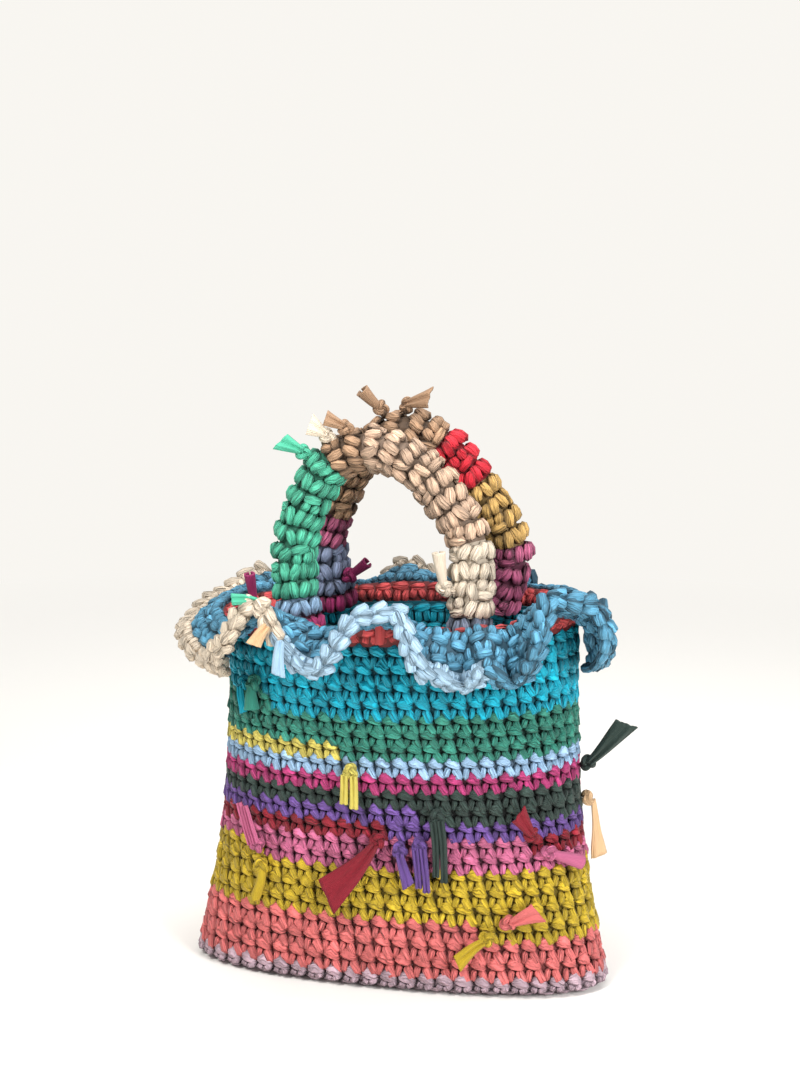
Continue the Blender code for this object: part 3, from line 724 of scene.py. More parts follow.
# Heights of the rounds, from the floor up
ROUND_STARTS = [0.0]
for rounds, height in zip(ROUND_COUNTS, ROUND_HEIGHTS):
    for _ in range(rounds):
        ROUND_STARTS.append(ROUND_STARTS[-1] + height)
BODY_HEIGHT = ROUND_STARTS[-1]
LAST_ROUND = len(ROUND_STARTS) - 1


def oval(height, samples=240):
    """The bag's outline at a height: points and lengths along it, from the back seam."""
    rise = height / BODY_HEIGHT
    flare = math.exp(-((height / FLARE_HEIGHT) ** FLARE_POWER))
    half_length = RIM_HALF_LENGTH + (BASE_HALF_LENGTH - RIM_HALF_LENGTH) * flare
    half_depth = BASE_HALF_DEPTH + (RIM_HALF_DEPTH - BASE_HALF_DEPTH) * rise**BULGE_POWER
    power = 2 / (BASE_SQUARENESS + (RIM_SQUARENESS - BASE_SQUARENESS) * rise)
    points = []
    for index in range(samples + 1):
        angle = math.pi / 2 + 2 * math.pi * (index % samples) / samples
        across, along = math.cos(angle), math.sin(angle)
        x = math.copysign(half_length * abs(across) ** power, across)
        y = math.copysign(half_depth * abs(along) ** power, along)
        points.append(Vector((x, y, 0)))
    return points, lengths_of(points)


OVALS = {}


def wall_place(share, height, lift=0.0):
    """A place on the wall, lifted off its outermost face, with the outward direction."""
    height = max(0.0, height)
    level = round(min(height, BODY_HEIGHT), 1)
    if level not in OVALS:
        OVALS[level] = oval(level)
    points, lengths = OVALS[level]
    wanted = (share % 1.0) * lengths[-1]
    low, high = 0, len(lengths) - 1
    while high - low > 1:
        middle = (low + high) // 2
        if lengths[middle] <= wanted:
            low = middle
        else:
            high = middle
    along = (wanted - lengths[low]) / (lengths[high] - lengths[low])
    count = len(points) - 1
    edges = [
        (points[(low + offset) % count + 1] - points[(low + offset) % count]).normalized()
        for offset in (-1, 0, 1)
    ]
    entering = (edges[0] + edges[1]).normalized()
    leaving = (edges[1] + edges[2]).normalized()
    rightward = entering.lerp(leaving, along).normalized()
    outward = Vector((rightward.y, -rightward.x, 0))
    place = points[low].lerp(points[high], along) + outward * lift
    place.z = height * (1 + LEAN_TO_THE_RIGHT * place.x / BODY_HEIGHT)
    return place, outward


def stitch_at(round_number, share):
    """The stitch of the spiral at this round and share of the way round, as an even count."""
    stitches = round_number * (STITCHES + DRIFT) + share * STITCHES
    return 2 * round(stitches / 2)


def share_of(stitch):
    return stitch / (STITCHES + DRIFT)


def height_of(stitch):
    """The height of the spiral under a stitch: level, with a climb of one round at the back."""
    turns = share_of(stitch)
    whole = math.floor(turns)
    climb = max(0.0, (turns - whole - CLIMB_START) / (1 - CLIMB_START))
    climb = climb * climb * (3 - 2 * climb)
    if whole >= LAST_ROUND:
        return BODY_HEIGHT
    if whole < 0:
        return 0.0
    start, end = ROUND_STARTS[whole], ROUND_STARTS[whole + 1]
    return start + climb * (end - start)


def cell_place(stitch, right_share, rise, lift, foot=None):
    """A place in the cell of a stitch: how far to the right and how far up it, in shares."""
    lower = stitch + right_share
    upper = lower + STITCHES
    share = share_of(lower) * (1 - rise) + (share_of(upper) - 1) * rise
    low = height_of(lower) if foot is None else foot
    return wall_place(share, low * (1 - rise) + height_of(upper) * rise, lift)[0]


class Stitches:
    """The places of one piece's stitches, and the thin backing behind them, coloured with painted shade."""

    def __init__(self):
        self.places = []
        self.turns = []
        self.sizes = []
        self.shapes = []
        self.skin = Skin()
        self.keys = {}
        self.cells = []

    def add(self, place, right, up, width, height, shape, depth=1.0):
        """One stitch: right and up lie in the surface, and their cross product is outward."""
        outward = right.cross(up).normalized()
        right = right.normalized()
        level = outward.cross(right)
        turned = Matrix((right, -outward, level)).transposed()
        self.places.append(place)
        self.turns.append(turned.to_euler())
        self.sizes.append((width / PITCH, depth, height / ROUND))
        self.shapes.append(shape)

    def front(self, place, right, up, width, height, number, depth=1.0, shapes=FRONTS):
        """A stitch whose shape is picked from a few by its number."""
        shape = shapes[(number * 7 + number // 5) % len(shapes)]
        self.add(place, right, up, width, height, shape, depth)

    def node(self, key, outer, inner):
        if key not in self.keys:
            # The backing takes crown 0, so it gets the yarn's darkest painted shade
            self.keys[key] = (self.skin.point(outer, 0.0), self.skin.point(inner, 0.0))

    def cell(self, *keys):
        self.cells.append(keys)

    def close_backing(self):
        """Faces of the backing: its outer and inner side, and a lip wherever it ends."""
        open_edges = {}
        for keys in self.cells:
            self.skin.face(tuple(self.keys[key][0] for key in keys))
            self.skin.face(tuple(self.keys[key][1] for key in reversed(keys)))
            for start, end in zip(keys, (*keys[1:], keys[0])):
                if (end, start) in open_edges:
                    del open_edges[end, start]
                else:
                    open_edges[start, end] = True
        for start, end in open_edges:
            outer_start, inner_start = self.keys[start]
            outer_end, inner_end = self.keys[end]
            self.skin.face((outer_end, outer_start, inner_start, inner_end))

    def points_mesh(self, name):
        made = bpy.data.meshes.new(name)
        made.from_pydata([place * MM for place in self.places], [], [])
        for label, kind, values in (
            ("turn", "FLOAT_VECTOR", self.turns), ("size", "FLOAT_VECTOR", self.sizes), ("shape", "INT", self.shapes),
        ):
            layer = made.attributes.new(label, kind, "POINT")
            flat = [number for value in values for number in value] if kind == "FLOAT_VECTOR" else values
            layer.data.foreach_set("vector" if kind == "FLOAT_VECTOR" else "value", flat)
        return made


CROCHET, CROCHET_INPUTS = crochet_tree()
SHAPES = make_shapes()
UNEVEN_SIZE = 0.07
UNEVEN_TURN = 0.10


def finish_piece(name, mesh, slot, *nodes):
    """The finished piece at the origin, riding on the bag, for the nodes that it stands for."""
    piece = bpy.data.objects.new(name, mesh)
    bpy.context.scene.collection.objects.link(piece)
    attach(piece, BODY)
    if nodes:
        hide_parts(*nodes)
    return piece


def make_crochet(node, slot, stitches, seed, uneven_turn=UNEVEN_TURN):
    """The piece for one node: its stitches and backing, made a plain mesh."""
    stitches.close_backing()
    carrier = bpy.data.objects.new(f"{node}_points", stitches.points_mesh(f"{node}_points"))
    backing = bpy.data.objects.new(f"{node}_backing", stitches.skin.mesh(f"{node}_backing", tone=0.3, smooth=False))
    bpy.context.scene.collection.objects.link(carrier)
    modifier = carrier.modifiers.new("crochet", "NODES")
    modifier.node_group = CROCHET
    for label, value in (
        ("Stitch Shapes", SHAPES), ("Backing", backing), ("Yarn", yarn_of(slot)),
        ("Uneven Size", UNEVEN_SIZE), ("Uneven Turn", uneven_turn), ("Seed", seed),
    ):
        modifier[CROCHET_INPUTS[label]] = value
    bpy.context.view_layer.update()
    graph = bpy.context.evaluated_depsgraph_get()
    mesh = bpy.data.meshes.new_from_object(carrier.evaluated_get(graph))
    mesh.name = node
    for spare in (carrier, backing):
        bpy.data.objects.remove(spare, do_unlink=True)
    return finish_piece(f"crochet_{node}", mesh, slot, node)


# Where the stitches' origins and the backing lie, as lifts off the wall's outermost face
OUTER_LIFT = -CROWN
INNER_LIFT = -WALL + CROWN
OUTER_BACKING = OUTER_LIFT - BACKING_DEPTH
INNER_BACKING = INNER_LIFT + BACKING_DEPTH
TALL_CELL = 21.0


def add_wall_stitches(stitches, stitch, foot=None):
    """The stitch of one cell of the wall, outside and inside; a tall cell holds two."""
    tall = (cell_place(stitch, 0.5, 1, 0, foot) - cell_place(stitch, 0.5, 0, 0, foot)).length
    tiers = 2 if tall > TALL_CELL else 1
    for tier in range(tiers):
        low, high = tier / tiers, (tier + 1) / tiers
        middle = (low + high) / 2
        for lift, way in ((OUTER_LIFT, 1), (INNER_LIFT, -1)):
            place = cell_place(stitch, 0.5, middle, lift, foot)
            right = cell_place(stitch, 1, middle, lift, foot) - cell_place(stitch, 0, middle, lift, foot)
            up = cell_place(stitch, 0.5, high, lift, foot) - cell_place(stitch, 0.5, low, lift, foot)
            side = FRONTS if way > 0 else (BACK,)
            shapes = side if foot is None else (FOOT,)
            stitches.front(place, right * way, up, right.length, up.length, stitch, shapes=shapes)


def make_band(name, slot, first, last, seed):
    """The stretch of the wall worked with one yarn."""
    stitches = Stitches()
    for stitch in range(first, last):
        corners = (stitch, stitch + 1, stitch + 1 + STITCHES, stitch + STITCHES)
        for corner in corners:
            outer, _ = wall_place(share_of(corner), height_of(corner), OUTER_BACKING)
            inner, _ = wall_place(share_of(corner), height_of(corner), INNER_BACKING)
            stitches.node(corner, outer, inner)
        stitches.cell(*corners)
        add_wall_stitches(stitches, stitch)
    make_crochet(f"band_{name}", slot, stitches, seed)


BASE_RINGS = 5
FOOT_CLEARANCE = 3.0
UNDERSIDE_CLEARANCE = 0.8
CHAIN_HALF_LENGTH = 92.0
BASE_DEPTH = 0.7


def base_place(angle_share, ring_share, height):
    """A place on the flat base: rings of stitches round the chain that the base starts from."""
    rim, _ = wall_place(angle_share, 0.0, -3.0)
    chain = Vector((rim.x * CHAIN_HALF_LENGTH / BASE_HALF_LENGTH, 0, 0))
    place = chain.lerp(rim, ring_share)
    place.z = height
    return place


def evenly(path, pitch):
    """Places an even pitch apart along a path, as shares of its points, and the pitch used."""
    lengths = lengths_of(path)
    count = max(1, round(lengths[-1] / pitch))
    shares = []
    index = 0
    for number in range(count):
        wanted = (number + 0.5) / count * lengths[-1]
        while lengths[index + 1] < wanted:
            index += 1
        along = (wanted - lengths[index]) / (lengths[index + 1] - lengths[index])
        shares.append((index + along) / (len(path) - 1))
    return shares, lengths[-1] / count


def make_base(seed, wall_start):
    """The base: rings of stitches on both faces of the bottom, and the first round of the wall."""
    stitches = Stitches()
    first = wall_start - STITCHES
    bottom, top = CROWN + BACKING_DEPTH + UNDERSIDE_CLEARANCE, FLOOR - CROWN - BACKING_DEPTH
    for stitch in range(first, wall_start + 1):
        share = share_of(stitch)
        outer, _ = wall_place(share, bottom, OUTER_BACKING)
        inner, _ = wall_place(share, top, INNER_BACKING)
        outer.z, inner.z = bottom, top
        stitches.node(("foot", (stitch - first) % STITCHES), outer, inner)
    for above in range(wall_start, wall_start + STITCHES + 1):
        outer, _ = wall_place(share_of(above), height_of(above), OUTER_BACKING)
        inner, _ = wall_place(share_of(above), height_of(above), INNER_BACKING)
        stitches.node(("top", above), outer, inner)
    for ring in (0.66, 0.33):
        for step in range(STITCHES):
            share = share_of(first + step)
            stitches.node((ring, step), base_place(share, ring, bottom), base_place(share, ring, top))
    stitches.node("middle", Vector((0, 0, bottom)), Vector((0, 0, top)))
    for step in range(STITCHES):
        after = (step + 1) % STITCHES
        above = wall_start + step
        stitches.cell(("foot", step), ("foot", after), ("top", above + 1), ("top", above))
        stitches.cell((0.66, step), (0.66, after), ("foot", after), ("foot", step))
        stitches.cell((0.33, step), (0.33, after), (0.66, after), (0.66, step))
        stitches.cell("middle", (0.33, after), (0.33, step))
        add_wall_stitches(stitches, first + step, foot=FOOT_CLEARANCE)
    samples = 200
    for ring in range(BASE_RINGS):
        reach = (ring + 0.45) / BASE_RINGS
        path = [base_place(step / samples, reach, 0) for step in range(samples + 1)]
        shares, pitch = evenly(path, PITCH)
        for number, share in enumerate(shares):
            right = base_place(share + 1 / samples, reach, 0) - base_place(share - 1 / samples, reach, 0)
            for height, down in ((CROWN + UNDERSIDE_CLEARANCE, True), (FLOOR - CROWN, False)):
                outward = Vector((0, 0, -1 if down else 1))
                along = right if down else -right
                up = outward.cross(along).normalized()
                place = base_place(share, reach, height)
                width = BASE_HALF_DEPTH / BASE_RINGS
                stitches.front(place, along, up, pitch, width, number + ring, BASE_DEPTH, TUFTS)
    make_crochet("base_mauve", "mauve", stitches, seed)


def make_wall():
    starts = [(name, stitch_at(turn, share)) for name, turn, share in YARN_STARTS]
    make_base(11, starts[0][1])
    end = stitch_at(LAST_ROUND, 0.0)
    while BODY_HEIGHT - height_of(end) < LAST_STITCH_HEIGHT:
        end -= 2
    for number, ((name, first), (_, last)) in enumerate(zip(starts, (*starts[1:], ("", end)))):
        make_band(name, name, first, last, 20 + number)


def frill_lean(share):
    """How far the frill leans out at this place on the rim, in radians."""
    share %= 1.0
    places = [*FRILL_WAVES, (1.0, FRILL_WAVES[0][1])]
    for (start, low), (end, high) in zip(places, places[1:]):
        if start <= share <= end:
            turn = (share - start) / (end - start)
            return math.radians(low + (high - low) * (1 - math.cos(math.pi * turn)) / 2)
    return math.radians(FRILL_WAVES[0][1])


def frill_place(share, across):
    """A place on the middle of the frill: across runs from 0 at the rim to 1 at its edge."""
    root, outward = wall_place(share, BODY_HEIGHT, -FRILL_ROOT_INSET)
    lean = frill_lean(share)
    bend = lean / (FRILL_CURL_SHARE * FRILL_WIDTH)
    curled = min(across, FRILL_CURL_SHARE) * FRILL_WIDTH
    straight = max(0.0, across - FRILL_CURL_SHARE) * FRILL_WIDTH
    out = (1 - math.cos(bend * curled)) / bend + straight * math.sin(lean)
    up = math.sin(bend * curled) / bend + straight * math.cos(lean)
    return root + outward * out + Vector((0, 0, up + GAP))


def frill_axes(share, across):
    """The directions along the frill and up it, away from the rim."""
    near = 0.002
    along = frill_place(share + near, across) - frill_place(share - near, across)
    low, high = max(0.0, across - 0.05), min(1.0, across + 0.05)
    up = frill_place(share, high) - frill_place(share, low)
    return along, up


def within(share, start, end):
    return start <= share < end or start <= share + 1 < end


PLAIT_PITCH = 11.6
FRILL_BACKING = 1.5
FRILL_BACKING_STEPS = 2
ROOT_TUCK = 0.03
PLAIT_ACROSS = 0.95


def make_frill_piece(node, slot, rounds, start, end, seed, plait=False):
    """Some rounds of the frill from one place on the rim to another, with stitches on both
    sides, and the plait along its edge."""
    stitches = Stitches()
    one = 1 / FRILL_ROUNDS
    ring = end - start > 0.999
    low, high = rounds[0] * one or -ROOT_TUCK, (rounds[-1] + 1) * one
    if plait:
        high -= 0.25 * one
    stations = round((end - start) * FRILL_STATIONS)
    steps = FRILL_BACKING_STEPS * len(rounds)
    for number in range(stations + 1):
        share = start + (end - start) * number / stations
        key = number % stations if ring else number
        for step in range(steps + 1):
            across = low + (high - low) * step / steps
            along, up = frill_axes(share, across)
            side = along.cross(up).normalized() * FRILL_BACKING
            middle = frill_place(share, across)
            stitches.node((step, key), middle + side, middle - side)
    for number in range(stations):
        after = (number + 1) % stations if ring else number + 1
        for step in range(steps):
            stitches.cell((step, number), (step, after), (step + 1, after), (step + 1, number))
    for round_number in rounds:
        across = (round_number + 0.5) * one
        path = [frill_place(step / FRILL_SAMPLES, across) for step in range(FRILL_SAMPLES + 1)]
        shares, pitch = evenly(path, PITCH)
        full = min(1.0, across / FRILL_ROOT_SHARE)
        thickness = FRILL_ROOT_THICKNESS + (FRILL_THICKNESS - FRILL_ROOT_THICKNESS) * full
        for number, share in enumerate(shares):
            if not within(share, start, end):
                continue
            along, up = frill_axes(share, across)
            side = along.cross(up).normalized()
            offset = thickness / 2 - CROWN
            middle = frill_place(share, across)
            height = FRILL_WIDTH * one
            for way in (1, -1):
                origin = middle + side * offset * way
                stitches.front(origin, along * way, up, pitch, height, number + way, shapes=TUFTS)
    if plait:
        path = [frill_place(step / FRILL_SAMPLES, PLAIT_ACROSS) for step in range(FRILL_SAMPLES + 1)]
        shares, pitch = evenly(path, PLAIT_PITCH)
        for share in shares:
            if not within(share, start, end):
                continue
            along, up = frill_axes(share, PLAIT_ACROSS)
            side = along.cross(up).normalized()
            up = up.normalized()
            middle = frill_place(share, PLAIT_ACROSS) - up * 2.0
            for way, shape in ((1, PLAIT_LEFT), (-1, PLAIT_RIGHT)):
                stitches.add(middle + side * way * 2.3, along, side * -1, pitch, ROUND, shape)
    make_crochet(node, slot, stitches, seed, UNEVEN_TURN * 1.6)


def make_frill():
    make_frill_piece("frill_coral", "frill_coral", (0,), 0.0, 1.0, 41)
    make_frill_piece("frill_petrol", "petrol", (1, 2), 0.0, 1.0, 42)
    for number, (node, slot, start, end) in enumerate(FRILL_EDGES):
        make_frill_piece(node, slot, (FRILL_ROUNDS - 1,), start, end, 43 + number, plait=True)


def handle_path(feet, line):
    """The middle line of a handle, from its left foot on the rim over the arch to its right foot."""
    inset = FRILL_ROOT_INSET + FRILL_ROOT_THICKNESS / 2 + GAP + HANDLE_RADIUS
    left, _ = wall_place(feet[0], BODY_HEIGHT, -inset)
    right, _ = wall_place(feet[1], BODY_HEIGHT, -inset)
    lift = Vector((0, 0, GAP))
    top = max(height for _, height in line)
    route = [left + lift]
    for x, height in line:
        share = (x - left.x) / (right.x - left.x)
        depth = left.y + (right.y - left.y) * share
        lean = math.copysign(HANDLE_LEAN, depth) * height / top
        route.append(Vector((x, depth - lean, BODY_HEIGHT + height)))
    route.append(right + lift)
    return smooth_path(route, CURVE_STEPS)


HANDLE_CORE_SIDES = 16


def make_handle(side, feet, line, yarns, seed):
    """A stuffed tube of crochet, one piece to each yarn."""
    path = handle_path(feet, line)
    rows = max(HANDLE_FEWEST_ROWS, round(lengths_of(path)[-1] / HANDLE_ROW))
    row_height = lengths_of(path)[-1] / rows
    start = 0
    seen = {}
    core = HANDLE_RADIUS - CROWN - BACKING_DEPTH
    for position, (yarn, share) in enumerate(yarns):
        end = max(start + 1, round(share * rows))
        if position == len(yarns) - 1:
            end = rows
        stitches = Stitches()
        places = at_shares(path, [row / 2 / rows for row in range(2 * start, 2 * end + 1)])
        for offset, (place, direction) in enumerate(places):
            row = start + offset / 2
            across = (Vector((0, 1, 0)) - direction * direction.y).normalized()
            beside = direction.cross(across)

            def ray(angle):
                return beside * math.cos(angle) + across * math.sin(angle)

            if offset % 2 == 0:
                for number in range(HANDLE_CORE_SIDES):
                    outward = ray(2 * math.pi * number / HANDLE_CORE_SIDES)
                    stitches.node((offset, number), place + outward * core, place + outward * (core - 2))
                continue
            for number in range(HANDLE_STITCHES):
                angle = 2 * math.pi * (number + row * HANDLE_DRIFT) / HANDLE_STITCHES
                outward = ray(angle)
                right = direction.cross(outward)
                width = 2 * math.pi * (HANDLE_RADIUS - 2) / HANDLE_STITCHES
                origin = place + outward * (HANDLE_RADIUS - CROWN)
                stitches.front(origin, right, direction, width, row_height, number + offset, 1.1, BEANS)
        for offset in range(0, len(places) - 2, 2):
            for number in range(HANDLE_CORE_SIDES):
                after = (number + 1) % HANDLE_CORE_SIDES
                stitches.cell((offset, number), (offset, after), (offset + 2, after), (offset + 2, number))
        seen[yarn] = seen.get(yarn, 0) + 1
        suffix = "" if seen[yarn] == 1 else f"_{seen[yarn]}"
        piece = make_crochet(f"{side}_handle_{yarn}{suffix}", yarn, stitches, seed + position, UNEVEN_TURN * 2.6)
        start = end


def end_section(place, direction, face, wide, deep, thick):
    """The solid's section at one station of a loose end: four corners."""
    up = (face - direction * face.dot(direction)).normalized()
    across = direction.cross(up)
    return [
        place - across * wide / 2 - up * (deep - thick) / 2,
        place + up * deep / 2,
        place + across * wide / 2 - up * (deep - thick) / 2,
        place + up * (deep / 2 - thick),
    ]


def end_seat(node, path, knot, facing, width, cup):
    """How far the solid of a loose end was moved to its seat."""
    stations = [(0.0, KNOT_WIDTH / 2, KNOT_WIDTH / 2, KNOT_WIDTH / 2), (knot / 2, *[KNOT_WIDTH] * 3), (knot, *[NECK_WIDTH] * 3)]
    for step in range(1, STRIP_STEPS + 1):
        share = step / STRIP_STEPS
        wide = NECK_WIDTH + (width - NECK_WIDTH) * share
        deep = NECK_WIDTH + (cup + JERSEY_THICKNESS - NECK_WIDTH) * share
        thick = NECK_WIDTH + (JERSEY_THICKNESS - NECK_WIDTH) * share
        stations.append((knot + (1 - knot) * share, wide, deep, thick))
    corners = []
    places = at_shares(path, [station[0] for station in stations])
    for (place, direction), (_, wide, deep, thick), face in zip(places, stations, facing):
        corners += end_section(place, direction, face, wide, deep, thick)
    low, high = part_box(node)
    moved = []
    for axis in range(3):
        values = [corner[axis] for corner in corners]
        moved.append((low[axis] + high[axis]) / 2 / MM - (min(values) + max(values)) / 2)
    return Vector(moved)


STRIP_THICKNESS = 1.3
STRIP_STATIONS = 16
STRIP_COLUMNS = 16
TUBE_CUP_SHARE = 0.7
TUBE_ROLL = math.radians(335)
NECK_FOLD = 2.4
END_FOLD = 1.1
CORNER_CURL = 0.14
SLANT_SHARE = 0.4
NECK_SWAY = 0.9


def rolled(side, open_share, width):
    """Across a strip that is rolled into a tube: how far to the side, and how high."""
    radius = (NECK_WIDTH + (width - NECK_WIDTH) * open_share) / 2
    turn = side * TUBE_ROLL
    return math.sin(turn) * radius, math.cos(turn) * radius - radius


def folded(side, open_share, width, cup):
    """Across a flat strip, whose two edges curl into low folds that fade towards its end."""
    wide = NECK_WIDTH + (width - NECK_WIDTH) * open_share
    fold = NECK_FOLD + (END_FOLD - NECK_FOLD) * open_share
    height = fold * (1 - math.cos(4 * math.pi * side)) / 2 - cup * open_share * 2 * side * side
    return side * wide, height + width * CORNER_CURL * open_share**3 * 4 * side * side


def add_strip(skin, path, facing, knot, width, cup, seed, sway=0.0, reach=1.0):
    """A strip of jersey that comes out of its knot and ends in a clean cut. Gives the
    width, length and area that it was cut to."""
    tube = cup > TUBE_CUP_SHARE * width
    start = knot * 0.7
    shares = [start + (reach - start) * step / STRIP_STATIONS for step in range(STRIP_STATIONS + 1)]
    length = lengths_of(path)[-1] * (reach - start)
    slant = 0.0 if tube or sway else width * SLANT_SHARE * math.sin(seed * 2.3)
    grid = {}
    widths = []
    for station, (place, direction) in enumerate(at_shares(path, shares)):
        open_share = station / STRIP_STATIONS
        face = facing[0].lerp(facing[-1], open_share)
        up = (face - direction * face.dot(direction)).normalized()
        across = direction.cross(up)
        crest = (NECK_WIDTH + (cup + JERSEY_THICKNESS - NECK_WIDTH) * open_share) / 2
        rows = {"out": [], "in": []}
        for column in range(STRIP_COLUMNS + 1):
            side = column / STRIP_COLUMNS - 0.5
            x, z = rolled(side, open_share, width) if tube else folded(side, open_share, width, cup)
            z += crest + noise.noise(Vector((column * 0.5, station * 0.12, seed * 3.7))) * open_share
            x += sway * (NECK_SWAY + (1 - NECK_SWAY) * open_share)
            point = place + across * x + up * z
            rows["out"].append(point + direction * slant * side * open_share)
        widths.append(lengths_of(rows["out"])[-1])
        for column, point in enumerate(rows["out"]):
            before, after = rows["out"][max(0, column - 1)], rows["out"][min(STRIP_COLUMNS, column + 1)]
            inward = direction.cross(after - before).normalized()
            rows["in"].append(point + inward * STRIP_THICKNESS)
        for layer, points in rows.items():
            for column, point in enumerate(points):
                # Painted shade: the inner layer takes a lower crown, so it is painted darker than the outer face
                grid[layer, station, column] = skin.point(point, 1.0 if layer == "out" else 0.55)
    step_u = length * MM / STRIP_STATIONS
    step_v = max(widths) * MM / STRIP_COLUMNS

    def patch(*corners):
        skin.face(
            tuple(grid[corner] for corner in corners),
            [(corner[1] * step_u, corner[2] * step_v) for corner in corners],
        )

    def ring(station):
        outer = [("out", station, column) for column in range(STRIP_COLUMNS + 1)]
        return outer + [("in", station, column) for column in reversed(range(STRIP_COLUMNS + 1))]

    for station in range(STRIP_STATIONS):
        low, high = ring(station), ring(station + 1)
        for corner in range(len(low)):
            beside = (corner + 1) % len(low)
            patch(low[corner], low[beside], high[beside], high[corner])
    for column in range(STRIP_COLUMNS):
        for station, first, second in ((0, column + 1, column), (STRIP_STATIONS, column, column + 1)):
            patch(("out", station, first), ("out", station, second), ("in", station, second), ("in", station, first))
    return max(widths) * MM, length * MM, sum(widths) / len(widths) * length * MM * MM


KNOT_STEPS = 54
KNOT_SIDES = 8
KNOT_TUBE = 2.3
KNOT_SCALE = 1.25


def make_knot(name, slot, centre, direction, face, seed, root):
    """A tight overhand knot, with the yarn that it is tied in where that comes from afar."""
    up = (face - direction * face.dot(direction)).normalized()
    across = direction.cross(up)
    turned = Matrix((across, direction, up)).transposed()
    route = []
    for step in range(KNOT_STEPS):
        t = 2 * math.pi * step / KNOT_STEPS + seed
        place = Vector((
            math.sin(t) + 2 * math.sin(2 * t),
            math.cos(t) - 2 * math.cos(2 * t),
            -1.4 * math.sin(3 * t),
        ))
        route.append(centre + turned @ (place * KNOT_SCALE))
    skin = Skin()
    rings = []
    for step, place in enumerate(route):
        ahead = (route[(step + 1) % KNOT_STEPS] - route[step - 1]).normalized()
        side = ahead.cross(turned @ Vector((0.2, 0.1, 1))).normalized()
        level = side.cross(ahead)
        ring = []
        for corner in range(KNOT_SIDES):
            angle = 2 * math.pi * corner / KNOT_SIDES
            reach = KNOT_TUBE * (1 + 0.14 * noise.noise(Vector((step * 0.3, corner * 0.8, seed))))
            point = place + (side * math.cos(angle) + level * math.sin(angle)) * reach
            # Painted shade: the knot's colour darkens towards its middle, where its turns crowd in
            crown = min(1.0, (point - centre).length / (KNOT_WIDTH / 2))
            ring.append(skin.point(point, crown))
        rings.append(ring)
    for step in range(KNOT_STEPS):
        ahead = (step + 1) % KNOT_STEPS
        for corner in range(KNOT_SIDES):
            beside = (corner + 1) % KNOT_SIDES
            u, v = step / 9, (step + 1) / 9
            low, high = corner / KNOT_SIDES, (corner + 1) / KNOT_SIDES
            skin.face(
                (rings[step][corner], rings[ahead][corner], rings[ahead][beside], rings[step][beside]),
                [(u, low), (v, low), (v, high), (u, high)],
            )
    if root is not None:
        begin = root + (centre - root).normalized() * HANDLE_RADIUS * ROOT_SHARE
        add_leaf(skin, begin, centre, KNOT_TUBE * 1.3, KNOT_TUBE * 1.3, seed, BEAN, 8, 0.0, 1.0)
    mesh = skin.mesh(name, tone=0.5)
    mesh.materials.append(yarn_of(slot))
    return mesh


# The loose ends that come out of their knot as two strips
TWIN_STRIPS = ("end_lime", "end_slate_green", "end_purple_right", "end_orchid_strip")


# Strips that turn towards the front once they are out of their knot
STRIP_FACES = {"end_apricot": (0.6, -1.0, 0.0)}

# How deep in a handle the yarn of a knot begins
ROOT_SHARE = 0.75


def make_end(node, slot, route, facing, width, cup, seed, root=None):
    """A loose end of yarn: its knot and its strip, where the solid is seated."""
    path = smooth_path(route, CURVE_STEPS)
    knot = min(LONGEST_KNOT_SHARE, KNOT_LENGTH / lengths_of(path)[-1])
    seat = end_seat(node, path, knot, facing, width, cup)
    path = [place + seat for place in path]
    if node in STRIP_FACES:
        facing = [facing[0], Vector(STRIP_FACES[node]).normalized()]
    (centre, direction), = at_shares(path, [knot / 2])
    label = node.removeprefix("end_")
    knot_mesh = make_knot(f"knot_{label}", slot, centre, direction, facing[0], seed, root)
    knot_piece = finish_piece(f"knot_{label}", knot_mesh, slot, node)
    strips = ((-0.3, 0.52, 1.0), (0.28, 0.5, 0.92)) if node in TWIN_STRIPS else ((0.0, 1.0, 1.0),)
    skin = Skin()
    flat_width = longest = area = 0.0
    for number, (sway, share, reach) in enumerate(strips):
        wide, long, cut = add_strip(
            skin, path, facing, knot, width * share, cup * share, seed + number, width * sway, reach,
        )
        flat_width += wide
        longest = max(longest, long)
        area += cut
    mesh = skin.mesh(f"strip_{label}", tone=0.5)
    mesh.materials.append(yarn_of(slot, "strip"))
    strip = finish_piece(f"strip_{label}", mesh, slot, node)


def carrier_place(carrier, share):
    """The point of the wall or a handle that a loose end's places are measured from."""
    if carrier == "wall":
        return wall_place(share, CARRIER_RISE * BODY_HEIGHT)[0]
    feet, line = {
        "front": (FRONT_HANDLE_FEET, FRONT_HANDLE_LINE),
        "back": (BACK_HANDLE_FEET, BACK_HANDLE_LINE),
    }[carrier]
    return at_shares(handle_path(feet, line), [share])[0][0]


def make_ends():
    for number, (node, slot, route, width, cup) in enumerate(WALL_ENDS):
        places = [wall_place(share, height, KNOT_LIFT + lift) for share, height, lift in route]
        facing = [places[0][1]] * 3 + [places[1][1]] * 2 + [places[2][1]]
        make_end(node, slot, [place for place, _ in places], facing, width, cup, number + 1)
    for number, (node, slot, carrier, share, offsets, face, width, cup) in enumerate(FREE_ENDS):
        facing = [Vector(face).normalized()] * (STRIP_STEPS + 3)
        start = carrier_place(carrier, share)
        route = [start + Vector(offset) for offset in offsets]
        root = None if carrier == "wall" else start
        make_end(node, slot, route, facing, width, cup, number + 31, root)


